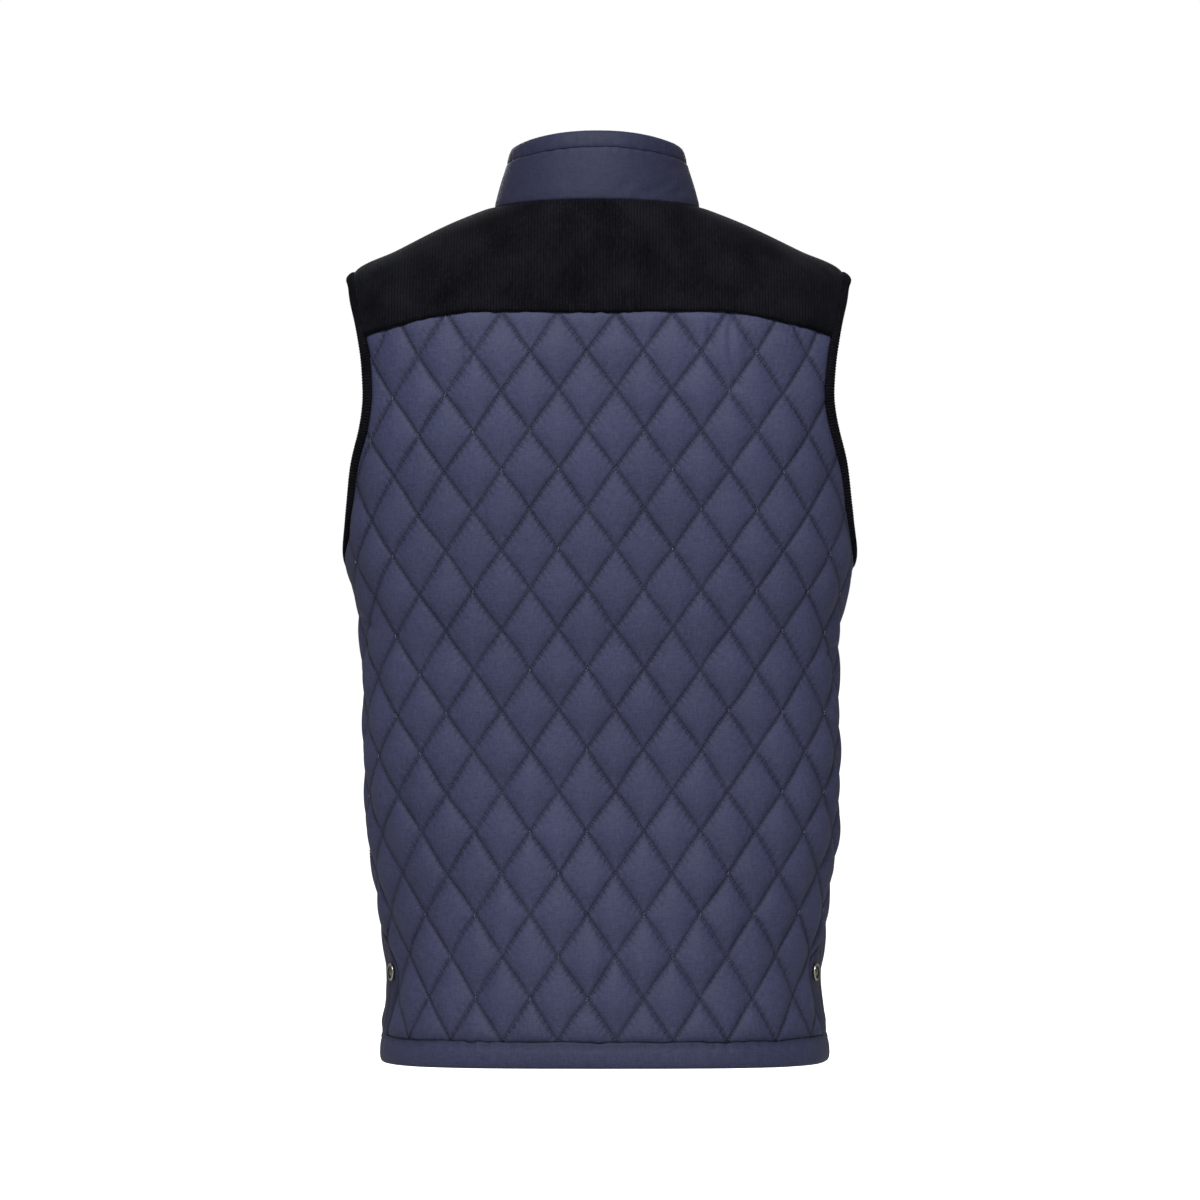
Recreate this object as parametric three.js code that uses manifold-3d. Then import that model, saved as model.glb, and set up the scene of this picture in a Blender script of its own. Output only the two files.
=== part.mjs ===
// Quilted vest, filled out and hollow: quilted body, corduroy yoke and armhole bindings, plain stand collar,
// hem bands, side vents and a press-stud front. Millimetres, +Z up, the front faces -Y.
// The origin is in the middle between the shoulders, on the level where they carry the garment.
import * as THREE from 'three';
import { mergeVertices } from 'three/addons/utils/BufferGeometryUtils.js';
import Module from 'manifold-3d';

const wasm = await Module();
wasm.setup();

// Driving sizes
const HEM_BOTTOM = -665;
const HEM_SEAM = -645;
const NECK_LEVEL = 29;
const SEAM_GAP = 0.4;
const SIDE_SEAM_REACH = 8; // side seam, this far behind the middle of the side
const QUILT_WALL = 4.8; // from the top of a quilted cushion to the plain inside
const QUILT_SINK = 2.6; // a stitched line lies this far under the cushions
const YOKE_WALL = 3;
const COLLAR_WALL = 4.2;
const ROLL_WALL = 5;
const HEM_WALL = 5.2;
const OUTLINE_STEP = 18; // longest straight stretch of a cut edge
const FINE_STEP = 5; // the same where the rings change fast, over the shoulders

// Quilting: diamonds in upright columns
const DIAMOND_WIDTH = 45.6;
const LATTICE_MIDDLE = -12.3; // a crossing lies this far from the middle of the back
const FIRST_ROW = -64;
const ROW_PITCH = 62.4;
const ROW_STRETCH = 0.22; // each row is a little taller than the one above it
const CUSHION_TOP = 0.52; // share of a diamond that its raised middle takes
const CUSHION_FALL = 0.6; // the raised middle's edge lies this far under its centre
const DROOP_FADE = 300; // the droop dies out over this height above the hem seam
const BACK_COLUMNS = [-14, 15]; // half diamonds across, from the crossing in the middle
const FRONT_COLUMNS = [-2, 16];
const BACK_ROWS = [-19, 1]; // half rows up from the first row
const FRONT_ROWS = [-19, 2];
const DROOP_LEFT = 9; // the rows sink towards the sides
const DROOP_RIGHT = 4;
const DROOP_ACROSS = 200;

// Placket
const PLACKET_HALF = 22;
const PLACKET_WALL = 2.3;
const UNDERLAP_HALF = 20;
const UNDERLAP_WALL = 2.1;

// Side vent strips and press studs
const VENT_TOP = -560;
const VENT_WALL = 3.2;
const VENT_SINK = 0.8; // the strip lies this far under the tops of the cushions beside it
const VENT_PAST = 20; // its cut-out runs this far past the side seam
const STUD_RADIUS = 7.5;
const STUD_SIDES = 10;
const STUD_LIFT = 0.45;
const SIDE_STUD = { reach: 48, level: -594.5 };
const PLACKET_STUDS = [-570, -455, -340, -225, -110];
const COLLAR_STUD = 57;

const BINDING = { width: 10, thickness: 6.8, sides: 8 };

// Rings of the body, from the hem to the neck seam. level is a ring's height at centre back, side and front its
// heights at the sides and at centre front. half is its half width, rear and fore its depth behind and before the
// sides, power its squareness and shift its place across.
const BODY = [
  { level: -665, side: -669, front: -665, half: 184.5, rear: 139, fore: 134, power: 2.6, shift: -3.5 },
  { level: -640, side: -643, front: -640, half: 182.5, rear: 137, fore: 131, power: 2.5, shift: -3.5 },
  { level: -600, side: -601, front: -600, half: 178.5, rear: 130, fore: 128, power: 2.4, shift: -3.0 },
  { level: -540, side: -540, front: -540, half: 185.0, rear: 119, fore: 126, power: 2.5, shift: -2.5 },
  { level: -490, side: -490, front: -490, half: 192.5, rear: 112, fore: 124, power: 2.7, shift: -2.0 },
  { level: -425, side: -425, front: -425, half: 195.5, rear: 107, fore: 122, power: 2.9, shift: -1.5 },
  { level: -335, side: -335, front: -335, half: 195.5, rear: 108, fore: 122, power: 3.0, shift: 0.0 },
  { level: -300, side: -300, front: -300, half: 199.5, rear: 111, fore: 121, power: 3.1, shift: 0.0 },
  { level: -262, side: -262, front: -262, half: 208.5, rear: 113, fore: 121, power: 3.1, shift: 0.0 },
  { level: -230, side: -230, front: -232, half: 209.0, rear: 115, fore: 120, power: 3.1, shift: 0.5 },
  { level: -160, side: -158, front: -175, half: 209.0, rear: 117, fore: 116, power: 3.1, shift: 1.0 },
  { level: -95, side: -90, front: -128, half: 207.5, rear: 113, fore: 107, power: 3.0, shift: 1.2 },
  { level: -72, side: -46, front: -112, half: 206.5, rear: 109, fore: 102, power: 2.9, shift: 1.2 },
  { level: -62, side: -26, front: -105, half: 201.0, rear: 107, fore: 100, power: 2.8, shift: 1.2 },
  { level: -30, side: -8, front: -86, half: 165.0, rear: 101, fore: 91, power: 2.5, shift: 1.2 },
  { level: 5, side: 12.5, front: -66, half: 122.5, rear: 92, fore: 79, power: 2.25, shift: 1.8 },
  { level: 29, side: 27.5, front: -51, half: 84.9, rear: 83, fore: 65, power: 2.1, shift: 2.4 },
];

// Rings of the collar, in the same columns
const COLLAR_SEAM = 70.7;
const COLLAR = [
  { level: 30.4, side: 28.0, front: -50.4, half: 84.5, rear: 82.6, fore: 64.6, power: 2.1, shift: 2.4 },
  { level: 50.0, side: 44.5, front: -26.0, half: 79.6, rear: 80.8, fore: 62.6, power: 2.1, shift: 2.4 },
  { level: 70.7, side: 63.0, front: 0.0, half: 73.8, rear: 78.0, fore: 60.5, power: 2.1, shift: 2.3 },
  { level: 84.8, side: 76.0, front: 14.0, half: 70.6, rear: 75.0, fore: 58.0, power: 2.15, shift: 2.2 },
];

// Armhole edge, once round from the shoulder: reach behind the middle of the side (before it where negative)
const ARMHOLE = [
  { reach: 0, level: -61 },
  { reach: 36, level: -64.5 },
  { reach: 62, level: -76 },
  { reach: 76, level: -93 },
  { reach: 84, level: -118 },
  { reach: 86, level: -139 },
  { reach: 81, level: -162 },
  { reach: 67, level: -190 },
  { reach: 55, level: -221 },
  { reach: 35, level: -252 },
  { reach: 0, level: -268 },
  { reach: -37, level: -254 },
  { reach: -62, level: -224 },
  { reach: -79, level: -191 },
  { reach: -88, level: -162 },
  { reach: -93, level: -137 },
  { reach: -91, level: -115 },
  { reach: -82, level: -94 },
  { reach: -65, level: -77 },
  { reach: -37, level: -65 },
];

// Seam under the yoke at the back, by its distance across from the middle
const YOKE_SEAM = [
  { across: 0, level: -63 },
  { across: 60, level: -63 },
  { across: 95, level: -64.5 },
  { across: 125, level: -69.5 },
  { across: 158, level: -77.5 },
  { across: 190, level: -84 },
  { across: 213, level: -90 },
  { across: 240, level: -97 },
];
const YOKE_SEAM_END = 232;

// Seam before the shoulders, where the yoke meets the front panels: reach before the middle of the side
const FORWARD_SEAM = [
  { level: -80, reach: 59 },
  { level: 29, reach: 34 },
];

// Edge of a vent strip: reach behind the middle of the side
const VENT_EDGE = [
  { level: -650, reach: 45 },
  { level: -620, reach: 52 },
  { level: -597, reach: 57 },
  { level: -580, reach: 49 },
  { level: -560, reach: 17 },
];

// Smooth value of one column between the rows of a table
function columnAt(rows, key, at, column) {
  const last = rows.length - 1;
  let i = 0;
  while (i < last - 1 && at > rows[i + 1][key]) i += 1;
  const slope = (j) => {
    const before = rows[Math.max(j - 1, 0)];
    const after = rows[Math.min(j + 1, last)];
    return (after[column] - before[column]) / (after[key] - before[key]);
  };
  const span = rows[i + 1][key] - rows[i][key];
  const t = (at - rows[i][key]) / span;
  const t2 = t * t;
  const t3 = t2 * t;
  return (
    rows[i][column] * (2 * t3 - 3 * t2 + 1) +
    rows[i + 1][column] * (3 * t2 - 2 * t3) +
    slope(i) * span * (t3 - 2 * t2 + t) +
    slope(i + 1) * span * (t3 - t2)
  );
}

const RING_STEPS = 96;
const RING_COLUMNS = ['side', 'front', 'half', 'rear', 'fore', 'power', 'shift'];
const ringStore = new Map();

function ringRadius(ring, angle) {
  const depth = Math.cos(angle) >= 0 ? ring.rear : ring.fore;
  const across = Math.abs(Math.sin(angle)) / ring.half;
  const along = Math.abs(Math.cos(angle)) / depth;
  return (across ** ring.power + along ** ring.power) ** (-1 / ring.power);
}

// One ring of a form, with its length measured round from centre back to centre front
function ringAt(rows, level) {
  const name = `${rows.length}/${level.toFixed(4)}`;
  if (ringStore.has(name)) return ringStore.get(name);
  const ring = { level, lengths: [0] };
  for (const column of RING_COLUMNS) ring[column] = columnAt(rows, 'level', level, column);
  let x = 0;
  let y = ring.rear;
  for (let i = 1; i <= RING_STEPS; i += 1) {
    const angle = (Math.PI * i) / RING_STEPS;
    const radius = ringRadius(ring, angle);
    const nextX = radius * Math.sin(angle);
    const nextY = radius * Math.cos(angle);
    ring.lengths.push(ring.lengths[i - 1] + Math.hypot(nextX - x, nextY - y));
    x = nextX;
    y = nextY;
  }
  ring.toFront = ring.lengths[RING_STEPS];
  ring.toSide = ring.lengths[RING_STEPS / 2];
  ringStore.set(name, ring);
  return ring;
}

// Point of a form: round is the length along the ring from centre back, towards +X where positive
function formPoint(rows, round, level) {
  const ring = ringAt(rows, level);
  const length = Math.min(Math.abs(round), ring.toFront);
  let i = 0;
  while (i < RING_STEPS - 1 && ring.lengths[i + 1] < length) i += 1;
  const part = (length - ring.lengths[i]) / (ring.lengths[i + 1] - ring.lengths[i]);
  const angle = (Math.PI * (i + part)) / RING_STEPS;
  const radius = ringRadius(ring, angle);
  const y = radius * Math.cos(angle);
  const turned = (y / (y >= 0 ? ring.rear : ring.fore)) ** 2;
  const end = y >= 0 ? level : ring.front;
  return new THREE.Vector3(
    ring.shift + Math.sign(round) * radius * Math.sin(angle),
    y,
    ring.side + (end - ring.side) * turned,
  );
}

const PROBE = 0.5;

function formNormal(rows, round, level) {
  const ahead = formPoint(rows, round + PROBE, level).sub(formPoint(rows, round - PROBE, level));
  const up = formPoint(rows, round, level + PROBE).sub(formPoint(rows, round, level - PROBE));
  return up.cross(ahead).normalize();
}

// Point at a height over the form, inside where negative
function liftedPoint(rows, round, level, height) {
  return formPoint(rows, round, level).addScaledVector(formNormal(rows, round, level), height);
}

// Length round to the middle of a side, and to the side seam
const toSide = (level) => ringAt(BODY, level).toSide;
const toFront = (level) => ringAt(BODY, level).toFront;

// Flat cloth: the back is laid out from the middle of the back, a front from centre front
const backRound = (across, level) => across - ringAt(BODY, level).shift;

function frontRound(across, level, hand) {
  const ring = ringAt(BODY, level);
  return hand * (ring.toFront - Math.abs(across - ring.shift));
}

const backAcross = (round, level) => round + ringAt(BODY, level).shift;

function frontAcross(round, level, hand) {
  const ring = ringAt(BODY, level);
  return ring.shift + hand * (ring.toFront - Math.abs(round));
}

const range = (count) => Array.from({ length: count }, (_, i) => i);

// Places from one value to another, no further apart than a step
function places(from, to, step = OUTLINE_STEP) {
  const count = Math.max(1, Math.ceil(Math.abs(to - from) / step));
  return range(count + 1).map((i) => from + ((to - from) * i) / count);
}

// Point on the armhole edge, t from 0 to 1 once round
function armholeAt(t) {
  const count = ARMHOLE.length;
  const i = Math.floor(t * count);
  const part = t * count - i;
  const row = (offset) => ARMHOLE[(i + offset + count) % count];
  const mix = (column) => {
    const [a, b, c, d] = [row(-1)[column], row(0)[column], row(1)[column], row(2)[column]];
    return b + 0.5 * part * (c - a + part * (2 * a - 5 * b + 4 * c - d + part * (3 * (b - c) + d - a)));
  };
  return { reach: mix('reach'), level: mix('level') };
}

const ARMHOLE_POINTS = 48; // steps round an armhole, the same for the panels and the binding

function armholeOutline(hand, layOut) {
  return range(ARMHOLE_POINTS).map((i) => {
    const { reach, level } = armholeAt(i / ARMHOLE_POINTS);
    return [layOut(hand * (toSide(level) - reach), level), level];
  });
}

// Solid whose faces are numbered, so that a cut keeps the points between two faces that lie in line
function solidOf(coordinates, triangles, faces) {
  return new wasm.Manifold(
    new wasm.Mesh({
      numProp: 3,
      vertProperties: new Float32Array(coordinates),
      triVerts: new Uint32Array(triangles),
      faceID: new Uint32Array(faces),
    }),
  );
}

// Closed flat slab from its outer and inner triangles, which share their edge points
function flatSlab(outer, inner) {
  const index = new Map();
  const coordinates = [];
  const vertex = (point, layer) => {
    const name = `${point[0].toFixed(3)},${point[1].toFixed(3)},${layer}`;
    if (!index.has(name)) {
      index.set(name, index.size);
      coordinates.push(...point);
    }
    return index.get(name);
  };
  const triangles = [];
  const edges = new Map();
  for (const corners of outer) {
    const ids = corners.map((point) => vertex(point, 'outer'));
    triangles.push(...ids);
    ids.forEach((id, k) => edges.set(`${id}-${ids[(k + 1) % 3]}`, [corners[k], corners[(k + 1) % 3]]));
  }
  const under = new Map();
  for (const corners of inner) {
    const ids = corners.map((point) => vertex(point, 'inner'));
    triangles.push(ids[0], ids[2], ids[1]);
    corners.forEach((point) => under.set(`${point[0].toFixed(3)},${point[1].toFixed(3)}`, point));
  }
  for (const [name, [from, to]] of edges) {
    const [a, b] = name.split('-');
    if (edges.has(`${b}-${a}`)) continue;
    const below = (point) => under.get(`${point[0].toFixed(3)},${point[1].toFixed(3)}`);
    const [fromIn, toIn] = [vertex(below(from), 'inner'), vertex(below(to), 'inner')];
    const [fromOut, toOut] = [vertex(from, 'outer'), vertex(to, 'outer')];
    triangles.push(fromOut, fromIn, toOut, toOut, fromIn, toIn);
  }
  return solidOf(coordinates, triangles, range(triangles.length / 3));
}

const CUTTER_REACH = 20; // above and below the cloth

// Cutter with a flat outline
function cutter(outline) {
  const shape = new THREE.Shape(outline.map(([x, y]) => new THREE.Vector2(x, y)));
  const prism = new THREE.ExtrudeGeometry(shape, { depth: 2 * CUTTER_REACH, bevelEnabled: false });
  prism.translate(0, 0, -CUTTER_REACH);
  prism.deleteAttribute('normal');
  prism.deleteAttribute('uv');
  const merged = mergeVertices(prism);
  const ends = prism.groups[0].count / 3; // the two end faces come first, then two triangles for each side
  const faces = range(merged.index.count / 3).map((i) => (i < ends ? 0 : 1 + Math.floor((i - ends) / 2)));
  return solidOf(merged.attributes.position.array, merged.index.array, faces);
}

// Cuts a flat slab along its outline and its holes, and lays it on the form
function cutAndLay(slab, outline, holes, lay) {
  let cloth = slab.intersect(cutter(outline));
  for (const hole of holes) cloth = cloth.subtract(cutter(hole));
  const { vertProperties, triVerts } = cloth.getMesh();
  const positions = [];
  for (let i = 0; i < vertProperties.length; i += 3) {
    positions.push(...lay(vertProperties[i], vertProperties[i + 1], vertProperties[i + 2]).toArray());
  }
  return closedGeometry(positions, Array.from(triVerts));
}

// Geometry of a closed body, turned to face out
function closedGeometry(positions, indices) {
  const corner = (i) => new THREE.Vector3().fromArray(positions, 3 * i);
  let volume = 0;
  for (let i = 0; i < indices.length; i += 3) {
    const [a, b, c] = [corner(indices[i]), corner(indices[i + 1]), corner(indices[i + 2])];
    volume += a.dot(b.cross(c));
  }
  if (volume < 0) indices.reverse();
  const geometry = new THREE.BufferGeometry();
  geometry.setAttribute('position', new THREE.Float32BufferAttribute(positions, 3));
  geometry.setIndex(indices);
  geometry.computeVertexNormals();
  return geometry;
}

// Lattice of quilted diamonds between two columns, counted in half diamonds and half rows
function quiltedSlab([firstColumn, lastColumn], [firstRow, lastRow], place) {
  const outer = [];
  const inner = [];
  for (let column = firstColumn; column <= lastColumn; column += 1) {
    for (let row = firstRow; row <= lastRow; row += 1) {
      if ((column + row) % 2 === 0) continue;
      const around = [[1, 0], [0, 1], [-1, 0], [0, -1]];
      const corner = around.map(([dc, dr]) => place(column + dc, row + dr));
      const raised = around.map(([dc, dr]) => place(column + dc * CUSHION_TOP, row + dr * CUSHION_TOP));
      const middle = [...place(column, row), 0];
      for (let k = 0; k < 4; k += 1) {
        const next = (k + 1) % 4;
        const low = [...corner[k], -QUILT_SINK];
        const lowNext = [...corner[next], -QUILT_SINK];
        const high = [...raised[k], -CUSHION_FALL];
        const highNext = [...raised[next], -CUSHION_FALL];
        outer.push([low, lowNext, highNext], [low, highNext, high], [high, highNext, middle]);
      }
      const [right, top, left, bottom] = corner.map((point) => [...point, -QUILT_WALL]);
      inner.push([bottom, right, top], [bottom, top, left]);
    }
  }
  return flatSlab(outer, inner);
}

const rowHeight = (row) => FIRST_ROW - ROW_PITCH * row - ROW_STRETCH * row * row;

function backLattice(column, halfRow) {
  const across = LATTICE_MIDDLE + (column * DIAMOND_WIDTH) / 2;
  const height = rowHeight(-halfRow / 2);
  const fade = Math.min(1, (height - HEM_SEAM) / DROOP_FADE);
  const droop = (across > 0 ? DROOP_LEFT : DROOP_RIGHT) * (across / DROOP_ACROSS) ** 2 * Math.max(0, fade);
  return [across, height - droop];
}

const FRONT_STEEPNESS = 1.6; // levels for each millimetre of height, past the neck seam

// Level whose ring crosses centre front at a height
function levelOfFront(height) {
  const neck = BODY.at(-1);
  if (height > neck.front) return neck.level + (height - neck.front) * FRONT_STEEPNESS;
  let low = -700;
  let high = neck.level;
  while (high - low > 0.001) {
    const middle = (low + high) / 2;
    if (columnAt(BODY, 'level', middle, 'front') < height) low = middle;
    else high = middle;
  }
  return low;
}

function frontLattice(column, halfRow) {
  return [(column * DIAMOND_WIDTH) / 2, levelOfFront(rowHeight(-halfRow / 2))];
}

const layBack = (across, level, height) => liftedPoint(BODY, backRound(across, level), level, height);

function sideSeamEdge(hand, from, to, offset, layOut) {
  return places(from, to, 2 * FINE_STEP).map((level) => {
    return [layOut(hand * (toSide(level) - SIDE_SEAM_REACH + offset), level), level];
  });
}

const yokeSeamLevel = (across) => columnAt(YOKE_SEAM, 'across', Math.abs(across), 'level');

function forwardSeamRound(level) {
  return toSide(level) + columnAt(FORWARD_SEAM, 'level', level, 'reach');
}

const ARMHOLE_MIDDLE = -150; // a level where every cut edge at the side lies inside the armhole

const ventReach = (level) => columnAt(VENT_EDGE, 'level', level, 'reach');

// The strip's edge is slanted near its top, so the cut-out stands further off it across than at a plain seam
const ventCut = (level) => ventReach(level) + 1.5 * SEAM_GAP;
const ventLevels = places(HEM_SEAM + SEAM_GAP / 2, VENT_TOP - SEAM_GAP / 2, FINE_STEP);

function ventOutline(hand, layOut) {
  const inner = [HEM_SEAM - 10, ...ventLevels, VENT_TOP + SEAM_GAP / 2];
  const outer = [...inner].reverse();
  return [
    ...inner.map((level) => [layOut(hand * (toSide(level) - ventCut(level)), level), level]),
    ...outer.map((level) => [layOut(hand * (toSide(level) + VENT_PAST), level), level]),
  ];
}

function backPanel() {
  const bottom = HEM_SEAM + SEAM_GAP / 2;
  const up = sideSeamEdge(1, bottom, ARMHOLE_MIDDLE, -SEAM_GAP / 2, backAcross);
  const down = sideSeamEdge(-1, ARMHOLE_MIDDLE, bottom, -SEAM_GAP / 2, backAcross);
  const seam = places(YOKE_SEAM_END, -YOKE_SEAM_END).map((across) => {
    return [across, yokeSeamLevel(across) - SEAM_GAP / 2];
  });
  const hem = places(down.at(-1)[0], up[0][0]).slice(1, -1).map((across) => [across, bottom]);
  const holes = [1, -1].flatMap((hand) => [armholeOutline(hand, backAcross), ventOutline(hand, backAcross)]);
  const slab = quiltedSlab(BACK_COLUMNS, BACK_ROWS, backLattice);
  return cutAndLay(slab, [...up, ...seam, ...down, ...hem], holes, layBack);
}

function frontPanel(hand) {
  const layOut = (round, level) => frontAcross(round, level, hand);
  const bottom = HEM_SEAM + SEAM_GAP / 2;
  const top = NECK_LEVEL - SEAM_GAP / 2;
  const side = sideSeamEdge(hand, bottom, ARMHOLE_MIDDLE, SEAM_GAP / 2, layOut);
  const seam = places(FORWARD_SEAM[0].level, top, FINE_STEP).map((level) => {
    return [layOut(hand * (forwardSeamRound(level) + SEAM_GAP / 2), level), level];
  });
  const edge = hand * (PLACKET_HALF + SEAM_GAP);
  const neck = places(seam.at(-1)[0], edge, 2 * FINE_STEP).slice(1, -1).map((across) => [across, top]);
  const front = places(top, bottom).map((level) => [edge, level]);
  const hem = places(edge, side[0][0]).slice(1, -1).map((across) => [across, bottom]);
  const [first, last] = FRONT_COLUMNS;
  const columns = hand > 0 ? [first, last] : [-last, -first];
  const slab = quiltedSlab(columns, FRONT_ROWS, frontLattice);
  const lay = (across, level, height) => {
    return liftedPoint(BODY, frontRound(across, level, hand), level, height);
  };
  return cutAndLay(slab, [...side, ...seam, ...neck, ...front, ...hem], [armholeOutline(hand, layOut)], lay);
}

// Plain slab of a regular grid
function plainSlab(halfWidth, bottom, top, step, wall) {
  const outer = [];
  const inner = [];
  const columns = places(-halfWidth, halfWidth, step);
  const rows = places(bottom, top, step);
  for (let i = 0; i < columns.length - 1; i += 1) {
    for (let j = 0; j < rows.length - 1; j += 1) {
      const at = (di, dj, height) => [columns[i + di], rows[j + dj], height];
      const turned = columns[i] + columns[i + 1] > 0;
      for (const [list, height] of [[outer, 0], [inner, -wall]]) {
        const [a, b, c, d] = [at(0, 0, height), at(1, 0, height), at(1, 1, height), at(0, 1, height)];
        if (turned) list.push([a, b, c], [a, c, d]);
        else list.push([a, b, d], [b, c, d]);
      }
    }
  }
  return flatSlab(outer, inner);
}

const YOKE_CELL = 22;
const YOKE_SPREAD = 200; // flat width of half the yoke's back, the same at every level

// The yoke is laid out with its shoulder lines upright
function yokeAcross(round, level) {
  const side = toSide(level);
  const length = Math.abs(round);
  const flat = length < side ? (YOKE_SPREAD * length) / side : YOKE_SPREAD + length - side;
  return Math.sign(round) * flat;
}

function yokeRound(across, level) {
  const side = toSide(level);
  const flat = Math.abs(across);
  const length = flat < YOKE_SPREAD ? (side * flat) / YOKE_SPREAD : side + flat - YOKE_SPREAD;
  return Math.sign(across) * length;
}

function yoke() {
  const top = NECK_LEVEL - SEAM_GAP / 2;
  const round = (level) => forwardSeamRound(level) - SEAM_GAP / 2;
  const low = FORWARD_SEAM[0].level;
  const leftEdge = places(low, top, FINE_STEP).map((level) => [yokeAcross(round(level), level), level]);
  const rightEdge = places(top, low, FINE_STEP).map((level) => [yokeAcross(-round(level), level), level]);
  const neck = places(leftEdge.at(-1)[0], rightEdge[0][0], 2 * FINE_STEP).slice(1, -1).map((across) => [across, top]);
  const seam = places(-YOKE_SEAM_END, YOKE_SEAM_END).map((across) => {
    const level = yokeSeamLevel(across) + SEAM_GAP / 2;
    return [yokeAcross(backRound(across, level), level), level];
  });
  const holes = [armholeOutline(1, yokeAcross), armholeOutline(-1, yokeAcross)];
  const slab = plainSlab(YOKE_SPREAD + 4 * YOKE_CELL, -110, 40, YOKE_CELL, YOKE_WALL);
  const lay = (across, level, height) => liftedPoint(BODY, yokeRound(across, level), level, height);
  return cutAndLay(slab, [...leftEdge, ...neck, ...rightEdge, ...seam], holes, lay);
}

// Body through sections of 2n points each, n along the outside and n back along the inside
function loft(sections, closed) {
  const count = sections.length;
  const size = sections[0].length;
  const positions = sections.flatMap((section) => section.flatMap((point) => point.toArray()));
  const at = (i, j) => (i % count) * size + (j % size);
  const indices = [];
  for (let i = 0; i < (closed ? count : count - 1); i += 1) {
    for (let j = 0; j < size; j += 1) {
      indices.push(at(i, j), at(i + 1, j), at(i + 1, j + 1));
      indices.push(at(i, j), at(i + 1, j + 1), at(i, j + 1));
    }
  }
  for (let j = 0; !closed && j < size / 2 - 1; j += 1) {
    const opposite = size - 1 - j;
    const last = count - 1;
    indices.push(at(0, j), at(0, j + 1), at(0, opposite));
    indices.push(at(0, j + 1), at(0, opposite - 1), at(0, opposite));
    indices.push(at(last, j), at(last, opposite), at(last, j + 1));
    indices.push(at(last, j + 1), at(last, opposite), at(last, opposite - 1));
  }
  return closedGeometry(positions, indices);
}

// Band along a form's rings: each profile row is a level and a height over the form
function ringBand(rows, profile, steps, roundAt) {
  const sections = range(steps + 1).map((i) => {
    return profile.map(({ level, height }) => liftedPoint(rows, roundAt(level, i / steps), level, height));
  });
  return loft(sections, false);
}

function collarRound(level, part) {
  const ring = ringAt(COLLAR, level);
  return (ring.toFront - PLACKET_HALF - SEAM_GAP) * (2 * part - 1) + ring.shift;
}

const COLLAR_STEPS = 34;

function collar() {
  const base = COLLAR[0].level;
  const top = COLLAR_SEAM - SEAM_GAP / 2;
  const middle = (base + top) / 2;
  const profile = [
    { level: base, height: -0.4 },
    { level: base + 6, height: 0 },
    { level: middle, height: 0 },
    { level: top, height: -0.8 },
    { level: top, height: -COLLAR_WALL },
    { level: middle, height: -COLLAR_WALL },
    { level: base + 6, height: -COLLAR_WALL },
    { level: base, height: -COLLAR_WALL },
  ];
  return ringBand(COLLAR, profile, COLLAR_STEPS, collarRound);
}

function collarRoll() {
  const low = COLLAR_SEAM + SEAM_GAP / 2;
  const top = COLLAR.at(-1).level;
  const profile = [
    { level: low, height: -1 },
    { level: low + 4, height: 0.4 },
    { level: top - 4, height: 0 },
    { level: top - 0.6, height: -1.6 },
    { level: top - 0.6, height: 1.2 - ROLL_WALL },
    { level: top - 4, height: -ROLL_WALL },
    { level: low + 4, height: -ROLL_WALL },
    { level: low, height: -ROLL_WALL + 0.6 },
  ];
  return ringBand(COLLAR, profile, COLLAR_STEPS, collarRound);
}

function hemProfile() {
  const top = HEM_SEAM - SEAM_GAP / 2;
  return [
    { level: top, height: -1.2 },
    { level: top - 5, height: 0 },
    { level: HEM_BOTTOM + 5, height: 0 },
    { level: HEM_BOTTOM + 1.2, height: -0.8 },
    { level: HEM_BOTTOM, height: -2.2 },
    { level: HEM_BOTTOM, height: 1.2 - HEM_WALL },
    { level: HEM_BOTTOM + 1.4, height: 0.3 - HEM_WALL },
    { level: HEM_BOTTOM + 5, height: -HEM_WALL },
    { level: top - 5, height: -HEM_WALL },
    { level: top, height: -HEM_WALL },
  ];
}

function backHemBand() {
  return ringBand(BODY, hemProfile(), 30, (level, part) => {
    return (toSide(level) - SIDE_SEAM_REACH - SEAM_GAP / 2) * (2 * part - 1);
  });
}

function frontHemBand(hand) {
  return ringBand(BODY, hemProfile(), 17, (level, part) => {
    const side = toSide(level) - SIDE_SEAM_REACH + SEAM_GAP / 2;
    const front = toFront(level) - PLACKET_HALF - SEAM_GAP + hand * ringAt(BODY, level).shift;
    return hand * (side + (front - side) * part);
  });
}

function ventStrip(hand) {
  const profile = [
    ...ventLevels.map((level) => ({ level, height: -VENT_SINK })),
    ...[...ventLevels].reverse().map((level) => ({ level, height: -VENT_SINK - VENT_WALL })),
  ];
  return ringBand(BODY, profile, 4, (level, part) => {
    const inner = ventReach(level) - SEAM_GAP / 2;
    const outer = SIDE_SEAM_REACH + SEAM_GAP / 2;
    return hand * (toSide(level) - inner + (inner - outer) * part);
  });
}

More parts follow.
